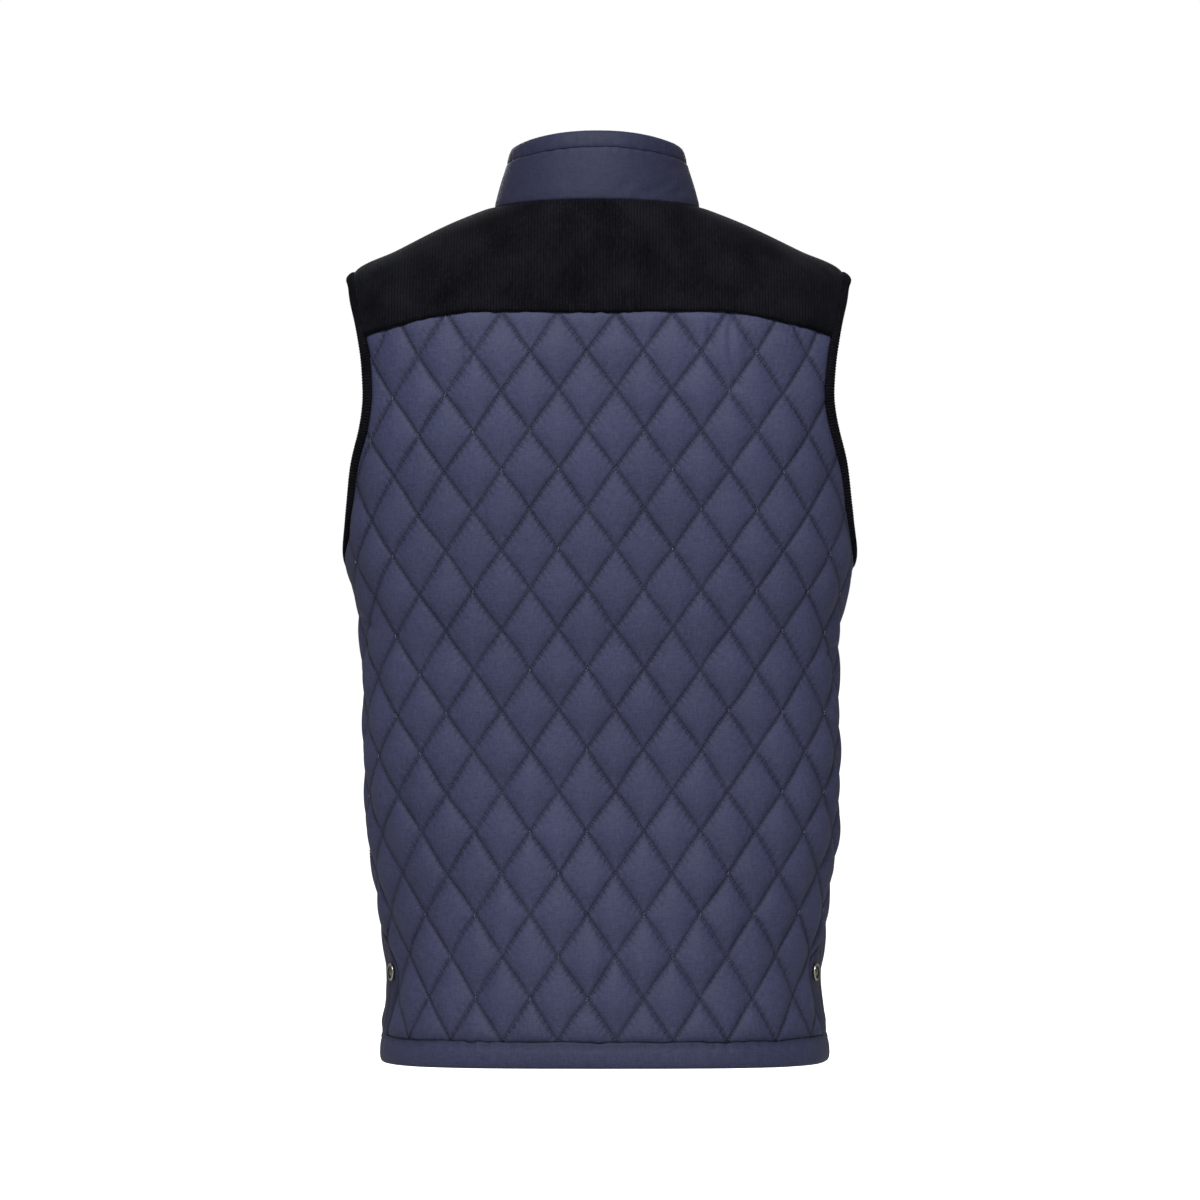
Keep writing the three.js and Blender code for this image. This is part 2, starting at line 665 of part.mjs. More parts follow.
// Binding folded over an armhole edge: a rounded band that lies in the opening
function armholeBinding(hand) {
  const pointAt = (i) => {
    const { reach, level } = armholeAt(((i / ARMHOLE_POINTS) % 1 + 1) % 1);
    return { round: hand * (toSide(level) - reach), level };
  };
  const sections = range(ARMHOLE_POINTS).map((i) => {
    const { round, level } = pointAt(i);
    const edge = formPoint(BODY, round, level);
    const normal = formNormal(BODY, round, level);
    const [after, before] = [pointAt(i + 0.5), pointAt(i - 0.5)];
    const along = formPoint(BODY, after.round, after.level).sub(formPoint(BODY, before.round, before.level));
    const inward = along.clone().cross(normal).normalize().multiplyScalar(hand);
    const middle = edge
      .addScaledVector(inward, BINDING.width / 2 + SEAM_GAP)
      .addScaledVector(normal, -QUILT_WALL / 2);
    return range(BINDING.sides).map((k) => {
      const turn = (2 * Math.PI * (k + 0.5)) / BINDING.sides;
      return middle
        .clone()
        .addScaledVector(inward, (Math.cos(turn) * BINDING.width) / 2 / Math.cos(Math.PI / BINDING.sides))
        .addScaledVector(normal, (Math.sin(turn) * BINDING.thickness) / 2);
    });
  });
  return loft(sections, true);
}

// Stations up the front: body levels, then collar levels
function frontStations() {
  const body = places(HEM_BOTTOM, NECK_LEVEL - 12, 30).map((level) => ({ rows: BODY, level }));
  const stand = places(COLLAR[0].level + 8, COLLAR.at(-1).level - 0.6, 14);
  return [...body, ...stand.map((level) => ({ rows: COLLAR, level }))];
}

const STRIP_SOFTENING = 0.5; // the strip's edges are this much lower than its middle

function frontStrip(half, columns, outerHeight, wall) {
  const across = range(columns).map((i) => -half + (2 * half * i) / (columns - 1));
  const sections = frontStations().map(({ rows, level }) => {
    const ring = ringAt(rows, level);
    const round = (x) => (x >= ring.shift ? 1 : -1) * (ring.toFront - Math.abs(x - ring.shift));
    const face = (x, height) => {
      const near = Math.min(Math.abs(round(x)), ring.toFront - 2 * PROBE);
      const normal = formNormal(rows, Math.sign(round(x)) * near, level);
      return formPoint(rows, round(x), level).addScaledVector(normal, height);
    };
    const softened = (x) => (Math.abs(x) === half ? STRIP_SOFTENING : 0);
    return [
      ...across.map((x) => face(x, outerHeight - softened(x))),
      ...[...across].reverse().map((x) => face(x, outerHeight - wall)),
    ];
  });
  return loft(sections, false);
}

// Cap of a press stud: raised rim, sunk ring, low crown
function studGeometry() {
  const profile = [
    [0, 0],
    [STUD_RADIUS - 0.7, 0],
    [STUD_RADIUS, 0.7],
    [STUD_RADIUS - 0.4, 1.9],
    [STUD_RADIUS - 1.4, 2.1],
    [STUD_RADIUS - 2.6, 1.2],
    [2.2, 1.3],
    [0, 1.8],
  ];
  const points = profile.map(([x, y]) => new THREE.Vector2(x, y));
  const cap = new THREE.LatheGeometry(points, STUD_SIDES);
  cap.rotateX(Math.PI / 2);
  cap.deleteAttribute('normal');
  cap.deleteAttribute('uv');
  return mergeVertices(cap, 1e-4);
}

const studCap = studGeometry();

// Materials
const material = (color, roughness, metalness) => new THREE.MeshStandardMaterial({ color, roughness, metalness });
const quiltedCloth = () => material(0x3f4160, 0.75, 0);
const corduroy = () => material(0x14151b, 0.95, 0);
const plainCloth = () => material(0x3a3c56, 0.75, 0);
const studMetal = () => material(0x8a8468, 0.35, 1);

const vest = new THREE.Group();

function addPiece(name, geometry, finish) {
  const piece = new THREE.Mesh(geometry, finish);
  piece.name = name;
  vest.add(piece);
  return piece;
}

function addStud(name, rows, round, level, sink) {
  const piece = addPiece(name, studCap.clone(), studMetal());
  const normal = formNormal(rows, round, level);
  piece.position.copy(formPoint(rows, round, level).addScaledVector(normal, STUD_LIFT - sink));
  piece.quaternion.setFromUnitVectors(new THREE.Vector3(0, 0, 1), normal);
}

addPiece('back_panel', backPanel(), quiltedCloth());
addPiece('yoke', yoke(), corduroy());
addPiece('collar', collar(), plainCloth());
addPiece('collar_roll', collarRoll(), plainCloth());
addPiece('hem_band_back', backHemBand(), plainCloth());
for (const [hand, side] of [[1, 'left'], [-1, 'right']]) {
  addPiece(`front_panel_${side}`, frontPanel(hand), quiltedCloth());
  addPiece(`hem_band_front_${side}`, frontHemBand(hand), plainCloth());
  addPiece(`armhole_binding_${side}`, armholeBinding(hand), corduroy());
  addPiece(`vent_strip_${side}`, ventStrip(hand), plainCloth());
  const studRound = hand * (toSide(SIDE_STUD.level) - SIDE_STUD.reach);
  addStud(`vent_stud_${side}`, BODY, studRound, SIDE_STUD.level, VENT_SINK);
}
addPiece('front_placket', frontStrip(PLACKET_HALF, 5, 0, PLACKET_WALL), plainCloth());
addPiece('front_underlap', frontStrip(UNDERLAP_HALF, 5, -PLACKET_WALL - SEAM_GAP, UNDERLAP_WALL), plainCloth());
PLACKET_STUDS.forEach((height, i) => {
  const level = levelOfFront(height);
  addStud(`placket_stud_${i + 1}`, BODY, toFront(level) - 2 * PROBE, level, 0);
});
const collarStudRound = ringAt(COLLAR, COLLAR_STUD).toFront - 2 * PROBE;
addStud(`placket_stud_${PLACKET_STUDS.length + 1}`, COLLAR, collarStudRound, COLLAR_STUD, 0);

export default vest;
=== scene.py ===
import math

import bpy
import numpy as np
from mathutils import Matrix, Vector


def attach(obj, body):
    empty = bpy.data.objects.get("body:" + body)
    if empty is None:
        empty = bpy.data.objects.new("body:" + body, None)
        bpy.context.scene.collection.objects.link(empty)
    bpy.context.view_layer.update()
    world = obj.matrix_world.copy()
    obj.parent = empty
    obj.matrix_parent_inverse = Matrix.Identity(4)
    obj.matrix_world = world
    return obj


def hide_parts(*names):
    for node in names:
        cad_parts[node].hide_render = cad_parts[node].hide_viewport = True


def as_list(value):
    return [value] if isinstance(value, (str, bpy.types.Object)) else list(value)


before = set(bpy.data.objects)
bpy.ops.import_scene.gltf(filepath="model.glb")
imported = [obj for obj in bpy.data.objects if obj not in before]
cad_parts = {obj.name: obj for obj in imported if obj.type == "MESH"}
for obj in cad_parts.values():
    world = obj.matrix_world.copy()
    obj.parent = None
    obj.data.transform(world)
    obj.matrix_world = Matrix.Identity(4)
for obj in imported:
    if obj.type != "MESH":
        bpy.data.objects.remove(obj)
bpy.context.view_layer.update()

MM = 0.001
SEED = 7
rng = np.random.default_rng(SEED)

# Sizes shared with the solids
HEM_BOTTOM = -665
HEM_SEAM = -645
NECK_LEVEL = 29
SEAM_GAP = -0.1  # sewn edges lap by this much, so that no light comes through a seam
SIDE_SEAM_REACH = 8
QUILT_WALL = 4.8
QUILT_SINK = 2.6
YOKE_WALL = 3
COLLAR_WALL = 4.2
ROLL_WALL = 5
HEM_WALL = 5.2
DIAMOND_WIDTH = 45.6
LATTICE_MIDDLE = -12.3
FIRST_ROW = -64
ROW_PITCH = 62.4
ROW_STRETCH = 0.22
DROOP_FADE = 300
DROOP_LEFT = 9
DROOP_RIGHT = 4
DROOP_ACROSS = 200
PLACKET_HALF = 22
PLACKET_WALL = 2.3
UNDERLAP_HALF = 20
UNDERLAP_WALL = 2.1
VENT_TOP = -560
VENT_WALL = 3.2
VENT_SINK = 0.8
SIDE_STUD_REACH = 48
SIDE_STUD_LEVEL = -594.5
PLACKET_STUDS = (-570, -455, -340, -225, -110)
COLLAR_STUD = 57
COLLAR_SEAM = 70.7
BINDING_WIDTH = 10
BINDING_THICKNESS = 6.8
BINDING_LAP = 0.9  # over the edge of the cloth that it binds
YOKE_SPREAD = 200
WALE = 2.5


def table(columns, *rows):
    """Rows of a table, as an array for each named column."""
    return {name: np.array([row[i] for row in rows], float) for i, name in enumerate(columns)}


# Rings of the body and of the collar: heights at centre back, sides and centre front, half width, depth
# behind and before the sides, squareness, shift across
RING_COLUMNS = ("level", "side", "front", "half", "rear", "fore", "power", "shift")
BODY_RINGS = table(
    RING_COLUMNS,
    (-665, -669, -665, 184.5, 139, 134, 2.6, -3.5),
    (-640, -643, -640, 182.5, 137, 131, 2.5, -3.5),
    (-600, -601, -600, 178.5, 130, 128, 2.4, -3.0),
    (-540, -540, -540, 185.0, 119, 126, 2.5, -2.5),
    (-490, -490, -490, 192.5, 112, 124, 2.7, -2.0),
    (-425, -425, -425, 195.5, 107, 122, 2.9, -1.5),
    (-335, -335, -335, 195.5, 108, 122, 3.0, 0.0),
    (-300, -300, -300, 199.5, 111, 121, 3.1, 0.0),
    (-262, -262, -262, 208.5, 113, 121, 3.1, 0.0),
    (-230, -230, -232, 209.0, 115, 120, 3.1, 0.5),
    (-160, -158, -175, 209.0, 117, 116, 3.1, 1.0),
    (-95, -90, -128, 207.5, 113, 107, 3.0, 1.2),
    (-72, -46, -112, 206.5, 109, 102, 2.9, 1.2),
    (-62, -26, -105, 201.0, 107, 100, 2.8, 1.2),
    (-30, -8, -86, 165.0, 101, 91, 2.5, 1.2),
    (5, 12.5, -66, 122.5, 92, 79, 2.25, 1.8),
    (29, 27.5, -51, 84.9, 83, 65, 2.1, 2.4),
)
COLLAR_RINGS = table(
    RING_COLUMNS,
    (30.4, 28.0, -50.4, 84.5, 82.6, 64.6, 2.1, 2.4),
    (50.0, 44.5, -26.0, 79.6, 80.8, 62.6, 2.1, 2.4),
    (70.7, 63.0, 0.0, 73.8, 78.0, 60.5, 2.1, 2.3),
    (84.8, 76.0, 14.0, 70.6, 75.0, 58.0, 2.15, 2.2),
)
# Armhole edge, once round from the shoulder: reach behind the middle of the side
ARMHOLE = table(
    ("reach", "level"),
    (0, -61),
    (36, -64.5),
    (62, -76),
    (76, -93),
    (84, -118),
    (86, -139),
    (81, -162),
    (67, -190),
    (55, -221),
    (35, -252),
    (0, -268),
    (-37, -254),
    (-62, -224),
    (-79, -191),
    (-88, -162),
    (-93, -137),
    (-91, -115),
    (-82, -94),
    (-65, -77),
    (-37, -65),
)
YOKE_SEAM = table(
    ("across", "level"),
    (0, -63),
    (60, -63),
    (95, -64.5),
    (125, -69.5),
    (158, -77.5),
    (190, -84),
    (213, -90),
    (240, -97),
)
FORWARD_SEAM = table(("level", "reach"), (-80, 59), (29, 34))
VENT_EDGE = table(("level", "reach"), (-650, 45), (-620, 52), (-597, 57), (-580, 49), (-560, 17))

RING_STEPS = 288
LEVEL_STEP = 2.0
PROBE = 1.0


def smooth_column(rows, key, at, column):
    """Smooth value of one column between the rows of a table."""
    keys, values = rows[key], rows[column]
    slopes = np.empty(len(keys))
    slopes[1:-1] = (values[2:] - values[:-2]) / (keys[2:] - keys[:-2])
    slopes[0] = (values[1] - values[0]) / (keys[1] - keys[0])
    slopes[-1] = (values[-1] - values[-2]) / (keys[-1] - keys[-2])
    at = np.asarray(at, float)
    i = np.clip(np.searchsorted(keys, at) - 1, 0, len(keys) - 2)
    span = keys[i + 1] - keys[i]
    t = (at - keys[i]) / span
    start = values[i] * (2 * t**3 - 3 * t**2 + 1) + slopes[i] * span * (t**3 - 2 * t**2 + t)
    return start + values[i + 1] * (3 * t**2 - 2 * t**3) + slopes[i + 1] * span * (t**3 - t**2)


class Form:
    """Smooth surface through rings, measured by the length round from centre back and by the level."""

    def __init__(self, rows):
        self.rows = rows
        self.levels = np.arange(rows["level"][0] - 6, rows["level"][-1] + 8, LEVEL_STEP)
        angles = np.linspace(0, math.pi, RING_STEPS + 1)
        x, y = self.around(self.ring(self.levels[:, None]), angles[None, :])
        steps = np.cumsum(np.hypot(np.diff(x, axis=1), np.diff(y, axis=1)), axis=1)
        lengths = np.concatenate([np.zeros((len(self.levels), 1)), steps], axis=1)
        self.front_lengths = lengths[:, -1]
        self.side_lengths = lengths[:, RING_STEPS // 2]
        shares = np.linspace(0, 1, RING_STEPS + 1)
        self.angles = np.array([np.interp(shares * row[-1], row, angles) for row in lengths])

    def ring(self, level):
        return {name: smooth_column(self.rows, "level", level, name) for name in RING_COLUMNS[1:]}

    def around(self, ring, angle):
        sine, cosine = np.abs(np.sin(angle)), np.cos(angle)
        depth = np.where(cosine >= 0, ring["rear"], ring["fore"])
        power = ring["power"]
        radius = ((sine / ring["half"]) ** power + (np.abs(cosine) / depth) ** power) ** (-1 / power)
        return radius * sine, radius * cosine

    def to_side(self, level):
        return np.interp(level, self.levels, self.side_lengths)

    def to_front(self, level):
        return np.interp(level, self.levels, self.front_lengths)

    def shift(self, level):
        return smooth_column(self.rows, "level", level, "shift")

    def point(self, length, level):
        length, level = np.broadcast_arrays(np.asarray(length, float), np.asarray(level, float))
        share = np.clip(np.abs(length) / self.to_front(level), 0, 1)
        down = np.clip((level - self.levels[0]) / LEVEL_STEP, 0, len(self.levels) - 1.001)
        along = np.clip(share * RING_STEPS, 0, RING_STEPS - 1e-6)
        i, j = down.astype(int), along.astype(int)
        a, b = down - i, along - j
        low = (1 - b) * self.angles[i, j] + b * self.angles[i, j + 1]
        high = (1 - b) * self.angles[i + 1, j] + b * self.angles[i + 1, j + 1]
        ring = self.ring(level)
        x, y = self.around(ring, (1 - a) * low + a * high)
        depth = np.where(y >= 0, ring["rear"], ring["fore"])
        end = np.where(y >= 0, level, ring["front"])
        z = ring["side"] + (end - ring["side"]) * (y / depth) ** 2
        return np.stack([ring["shift"] + np.sign(length) * x, y, z], axis=-1)

    def normal(self, length, level):
        ahead = self.point(length + PROBE, level) - self.point(length - PROBE, level)
        up = self.point(length, level + PROBE) - self.point(length, level - PROBE)
        return unit(np.cross(up, ahead))

    def lifted(self, length, level, height):
        length, level, height = np.broadcast_arrays(length, level, height)
        return self.point(length, level) + self.normal(length, level) * height[..., None]


def unit(vectors):
    return vectors / np.maximum(np.linalg.norm(vectors, axis=-1, keepdims=True), 1e-12)


BODY = Form(BODY_RINGS)
COLLAR = Form(COLLAR_RINGS)


def armhole_at(t):
    """Reach and level on the armhole edge, t from 0 to 1 once round."""
    count = len(ARMHOLE["reach"])
    place = (np.asarray(t, float) % 1) * count
    i = place.astype(int)
    part = place - i

    def mixed(values):
        a, b, c, d = (values[(i + k) % count] for k in (-1, 0, 1, 2))
        return b + 0.5 * part * (c - a + part * (2 * a - 5 * b + 4 * c - d + part * (3 * (b - c) + d - a)))

    return mixed(ARMHOLE["reach"]), mixed(ARMHOLE["level"])


BACK_REACH, BACK_LEVEL = armhole_at(np.linspace(0.5, 0, 200))
FRONT_REACH, FRONT_LEVEL = armhole_at(np.linspace(0.5, 1 - 1e-9, 200))


def back_armhole_reach(level):
    return np.interp(level, BACK_LEVEL, BACK_REACH, left=-1e3)


def front_armhole_reach(level):
    return np.interp(level, FRONT_LEVEL, -FRONT_REACH, left=-1e3)


def yoke_seam_level(across):
    return smooth_column(YOKE_SEAM, "across", np.abs(across), "level")


def forward_seam_reach(level):
    return smooth_column(FORWARD_SEAM, "level", level, "reach")


def front_height(level):
    return smooth_column(BODY_RINGS, "level", level, "front")


def vent_reach(level):
    """Reach behind the middle of the side of a vent strip's edge, which narrows towards its top."""
    return smooth_column(VENT_EDGE, "level", np.clip(level, -650, VENT_TOP), "reach")


# Meshes


def add_object(name, points, faces, finish, flat=None, lattice=None):
    """A smooth mesh from points in millimetres. flat is its cloth laid out, kept as the map that the weave
    reads, and lattice its place in the quilting."""
    mesh = bpy.data.meshes.new(name)
    mesh.from_pydata((np.asarray(points) * MM).tolist(), [], faces)
    mesh.polygons.foreach_set("use_smooth", np.ones(len(mesh.polygons), bool))
    corners = np.empty(len(mesh.loops), int)
    mesh.loops.foreach_get("vertex_index", corners)
    for label, places, scale in (("cloth", flat, MM), ("quilting", lattice, 1)):
        if places is not None:
            layer = mesh.uv_layers.new(name=label)
            layer.data.foreach_set("uv", (np.asarray(places)[corners] * scale).ravel())
    mesh.materials.append(finish)
    mesh.validate()
    mesh.update()
    piece = bpy.data.objects.new(name, mesh)
    bpy.context.scene.collection.objects.link(piece)
    return piece


def shell(name, outer, inner, finish, flat, keep=None, lattice=None):
    """Closed cloth from a fine grid of outer points and a coarser grid of inner ones, joined at its edges."""
    rows, columns = inner.shape[0] - 1, inner.shape[1] - 1
    fine = (outer.shape[0] - 1) // rows
    if keep is None:
        keep = np.ones((rows, columns), bool)
    width = outer.shape[1]
    start = outer.shape[0] * width
    over = np.kron(keep, np.ones((fine, fine), bool))
    i, j = np.nonzero(over)
    corner = i * width + j
    faces = np.stack([corner, corner + 1, corner + width + 1, corner + width], axis=1).tolist()
    i, j = np.nonzero(keep)
    corner = start + i * (columns + 1) + j
    faces += np.stack([corner, corner + columns + 1, corner + columns + 2, corner + 1], axis=1).tolist()
    bordered = np.pad(keep, 1)

    def rim(row, column, down, across):
        """Wall under one coarse edge, that starts at a grid point and runs down or across."""
        top = [(row * fine + k * down) * width + column * fine + k * across for k in range(fine + 1)]
        low = start + row * (columns + 1) + column
        return top, low, low + down * (columns + 1) + across

    for i in range(rows + 1):
        for j in range(columns):
            above, below = bordered[i, j + 1], bordered[i + 1, j + 1]
            if above == below:
                continue
            top, first, last = rim(i, j, 0, 1)
            faces.append([*top[::-1], first, last] if below else [*top, last, first])
    for i in range(rows):
        for j in range(columns + 1):
            before, after = bordered[i + 1, j], bordered[i + 1, j + 1]
            if before == after:
                continue
            top, first, last = rim(i, j, 1, 0)
            faces.append([*top, last, first] if after else [*top[::-1], first, last])
    points = np.concatenate([outer.reshape(-1, 3), inner.reshape(-1, 3)])

    def both(grid):
        return np.concatenate([grid.reshape(-1, 2), grid[::fine, ::fine].reshape(-1, 2)])

    used = np.zeros(len(points), int)
    for face in faces:
        used[face] = 1
    number = np.cumsum(used) - 1
    faces = [number[face].tolist() for face in faces]
    quilting = None if lattice is None else both(lattice)[used == 1]
    return outwards(add_object(name, points[used == 1], faces, finish, both(flat)[used == 1], quilting))


def outwards(piece):
    """Turns a closed mesh's faces out."""
    mesh = piece.data
    mesh.calc_loop_triangles()
    points = np.empty(len(mesh.vertices) * 3)
    mesh.vertices.foreach_get("co", points)
    corners = np.empty(len(mesh.loop_triangles) * 3, int)
    mesh.loop_triangles.foreach_get("vertices", corners)
    a, b, c = points.reshape(-1, 3)[corners].reshape(-1, 3, 3).transpose(1, 0, 2)
    if np.einsum("ij,ij->", a, np.cross(b, c)) < 0:
        mesh.flip_normals()
    return piece


def loft(name, sections, finish, flat, closed=False):
    """Closed body through closed sections, an array of stations, points of the section and xyz."""
    count, size = sections.shape[:2]
    i, j = np.meshgrid(np.arange(count if closed else count - 1), np.arange(size), indexing="ij")
    after, beside = (i + 1) % count, (j + 1) % size
    corners = [i * size + j, after * size + j, after * size + beside, i * size + beside]
    faces = np.stack(corners, axis=-1).reshape(-1, 4).tolist()
    if not closed:
        faces.append(list(range(size)))
        faces.append(list(range((count - 1) * size, count * size))[::-1])
    piece = outwards(add_object(name, sections.reshape(-1, 3), faces, finish, flat.reshape(-1, 2)))
    for face in () if closed else piece.data.polygons[-2:]:
        face.use_smooth = False
    return piece


# Soft unevenness


def waves(x, z, size, seed):
    """Smooth unevenness from -1 to 1, with humps of about one size."""
    turn = np.random.default_rng(seed)
    total = 0
    for _ in range(7):
        direction = turn.uniform(0, math.pi)
        length = size * turn.uniform(1.4, 3.0)
        phase = turn.uniform(0, 2 * math.pi)
        along = x * math.cos(direction) + z * math.sin(direction)
        total = total + np.sin(2 * math.pi * along / length + phase)
    return total / 3.2


def waver(along, seed, reach=0.7):
    """Uneven run of a seam, up or down by about its reach, with short pulls in it."""
    long_pulls = waves(along, 0 * along, 24, seed)
    short_pulls = waves(along, 0 * along, 6, seed + 1)
    share = 0.5 + 0.5 * waves(along, 0 * along, 40, seed + 2)
    return reach * (0.75 * long_pulls + 0.6 * short_pulls * share)


def hem_waver(length):
    return waver(length, 101, 0.8)


def yoke_waver(across):
    return waver(across, 105, 0.9)


def roll_waver(length):
    return waver(length, 109, 0.8)


def trough(x, z, rows):
    """Depth of creases given one by one. A row has start and end, each across and up, depth (a ridge where it
    is negative) and half width."""
    total = np.zeros(np.broadcast(x, z).shape)
    for from_x, from_z, to_x, to_z, depth, width in rows:
        length = math.hypot(to_x - from_x, to_z - from_z)
        along_x, along_z = (to_x - from_x) / length, (to_z - from_z) / length
        part = ((x - from_x) * along_x + (z - from_z) * along_z) / length
        bow = 0.06 * length * np.sin(math.pi * np.clip(part, 0, 1))
        off = (x - from_x) * along_z - (z - from_z) * along_x + bow
        taper = np.clip(part, 0, 1) * np.clip(1 - part, 0, 1) * 4
        total += depth * np.sqrt(taper) * np.exp(-((off / width) ** 2)) * (taper > 0)
    return total


# Quilting

LINE_SPACING = 36.8  # between two stitched lines of one direction
CROSSING_SPACING = 38.6  # between two crossings along a line
STITCH_PITCH = 2.7
CUSHION = rng.uniform(0.8, 1.12, (97, 97))
LEAN = rng.uniform(-0.13, 0.13, (2, 97, 97))


def rows_up(height):
    """Half rows up from the first row, for a height."""
    row = (-ROW_PITCH + np.sqrt(ROW_PITCH**2 - 4 * ROW_STRETCH * (height - FIRST_ROW))) / (2 * ROW_STRETCH)
    return -2 * row


def height_of_row(half_row):
    row = -half_row / 2
    return FIRST_ROW - ROW_PITCH * row - ROW_STRETCH * row**2


def back_droop(across, height):
    fade = np.clip((height - HEM_SEAM) / DROOP_FADE, 0, 1)
    return np.where(across > 0, DROOP_LEFT, DROOP_RIGHT) * (across / DROOP_ACROSS) ** 2 * fade


def wander(across, height, seed):
    """Small wandering of the stitched lines, across and up."""
    return 0.6 * waves(across, height, 30, seed), 0.6 * waves(across, height, 34, seed + 1)


def back_lattice(across, level):
    """Place in the quilting, in half diamonds across and half rows up."""
    aside, up = wander(across, level, 91)
    across, level = across + aside, level + up
    height = level
    for _ in range(6):
        height = level + back_droop(across, height)
    return (across - LATTICE_MIDDLE) / (DIAMOND_WIDTH / 2), rows_up(height)


def front_lattice(across, level):
    height = front_height(level)
    aside, up = wander(across, height, 95)
    return (across + aside) / (DIAMOND_WIDTH / 2), rows_up(height + up)


def pillow(column, half_row):
    """Rise of the padding from 0 on a stitched line to 1 in the middle of a diamond."""
    p, q = (column + half_row) / 2, (column - half_row) / 2
    i, j = np.floor(p).astype(int), np.floor(q).astype(int)
    u, v = p - i, q - j
    u = u + LEAN[0][i % 97, j % 97] * 4 * u * (1 - u) * 0.5
    v = v + LEAN[1][i % 97, j % 97] * 4 * v * (1 - v) * 0.5
    near_u, near_v = 1 - 2 * np.abs(u - 0.5), 1 - 2 * np.abs(v - 0.5)
    rise = (1 - (1 - near_u) ** 2.3) * (1 - (1 - near_v) ** 2.3)
    return rise * CUSHION[i % 97, j % 97]


def quilt_height(column, half_row, x, z, edge, seed, creases):
    """Height of the quilted face over the form; edge is the distance to the nearest seam."""
    edge = np.clip(edge, 0, None)
    pressed = 1 - np.exp(-(edge + 0.2) / 5.0)
    rise = pillow(column, half_row) * pressed
    uneven = 0.5 * waves(x, z, 45, seed) * pressed
    folds = trough(x, z, creases) * pressed
    fullness = 3.5 + 0.9 * np.clip((-220 - z) / 300, 0, 1)
    return -QUILT_SINK - 0.7 * np.exp(-edge / 1.2) + fullness * rise + uneven * (0.4 + 0.6 * rise) - folds


def lattice_place(column, half_row):
    """Place in the quilting, counted in stitched lines of the two directions."""
    return np.stack([(column + half_row) / 2, (column - half_row) / 2], axis=-1)


BACK_CREASES = (
    (101, -68, 106, -110, 1.3, 3.0),
    (-105, -66, -112, -128, 1.7, 3.2),
    (-118, -72, -109, -120, -0.6, 5.0),
    (-88, -70, -92, -96, 0.8, 2.5),
    (60, -66, 56, -92, 0.7, 2.6),
    (12, -66, 15, -90, 0.5, 2.6),
    (-38, -66, -35, -88, 0.6, 2.4),
    (222, -305, 190, -318, 1.8, 4.0),
    (226, -330, 198, -327, 1.2, 3.5),
    (224, -372, 204, -388, 1.5, 4.0),
    (-224, -330, -196, -342, 1.7, 4.0),
    (-222, -392, -200, -382, 1.2, 4.0),
    (214, -450, 192, -462, 1.0, 4.0),
    (-216, -470, -190, -458, 1.1, 4.0),
)
FRONT_CREASES = (
    (36, -70, 42, -120, 1.2, 3.2),
    (60, -150, 92, -190, 1.4, 5.0),
    (118, -250, 150, -232, 1.6, 4.5),
    (210, -300, 176, -316, 1.8, 4.0),
    (214, -345, 186, -338, 1.2, 3.8),
    (208, -392, 180, -404, 1.4, 4.2),
    (30, -380, 64, -392, 1.0, 4.5),
    (196, -520, 168, -508, 1.2, 4.5),
)

UNDERARM = -267.6  # a row of both grids lies here, where the armhole meets the side seam
BACK_ROWS = 36
BACK_COLUMNS = 34
FINE = 8


def back_bound(level):
    """Half length round of the back panel at a level."""
    return BODY.to_side(level) - np.maximum(back_armhole_reach(level), SIDE_SEAM_REACH + SEAM_GAP / 2)


VENT_COLUMNS = 3  # coarse columns at each side that the vent takes


def back_length(share, level):
    """Length round for a share from -1 to 1; below the armhole one column follows the vent's edge."""
    bound = back_bound(level)
    even = np.abs(share) * bound
    knee = 1 - 2 * VENT_COLUMNS / BACK_COLUMNS
    vent_edge = BODY.to_side(level) - vent_reach(level) - SEAM_GAP / 2
    below = np.clip(np.abs(share) / knee, 0, 1) * vent_edge
    beyond = np.clip((np.abs(share) - knee) / (1 - knee), 0, 1) * (bound - vent_edge)
    fade = np.clip((-268 - level) / 120, 0, 1)
    return np.sign(share) * ((1 - fade) * even + fade * (below + beyond))


def back_grid(rows, columns):
    """Lengths round and levels of a grid over the back panel, with a row of it on the top of the vents."""
    bottom = HEM_SEAM + SEAM_GAP / 2
    share = np.linspace(-1, 1, columns + 1)
    top = np.full(share.shape, -70.0)
    for _ in range(40):
        across = share * back_bound(top) + BODY.shift(top)
        top = yoke_seam_level(across) + yoke_waver(across) - SEAM_GAP / 2
    vent_rows = round(5 * rows / BACK_ROWS)
    vent = VENT_TOP + SEAM_GAP / 2
    lower = np.linspace(bottom, vent, vent_rows + 1)[:-1, None] + np.zeros(columns + 1)
    side_rows = round(19 * rows / BACK_ROWS)
    middle = np.linspace(vent, UNDERARM, side_rows + 1)[:-1, None] + np.zeros(columns + 1)
    upper = UNDERARM + np.linspace(0, 1, rows - vent_rows - side_rows + 1)[:, None] * (top - UNDERARM)
    level = np.concatenate([lower, middle, upper])
    length = back_length(share[None, :], level)
    level = level + hem_waver(length) * np.exp(-(level - bottom) / 6.0)
    return length, level, top[None, :]


def back_face(length, level, top):
    """Height of the back panel's quilted face."""
    across = length + BODY.shift(level)
    side = back_bound(level) - np.abs(length)
    vent_edge = BODY.to_side(level) - vent_reach(level)
    vent_side = np.where(level < VENT_TOP, vent_edge - np.abs(length), 99)
    over_vent = np.where(np.abs(length) > vent_edge, level - VENT_TOP, 99)
    hem = level - HEM_SEAM - hem_waver(length)
    edge = np.minimum.reduce([side, np.abs(vent_side), np.abs(over_vent), top - level, hem])
    column, half_row = back_lattice(across, level)
    return quilt_height(column, half_row, across, level, edge, 11, BACK_CREASES)


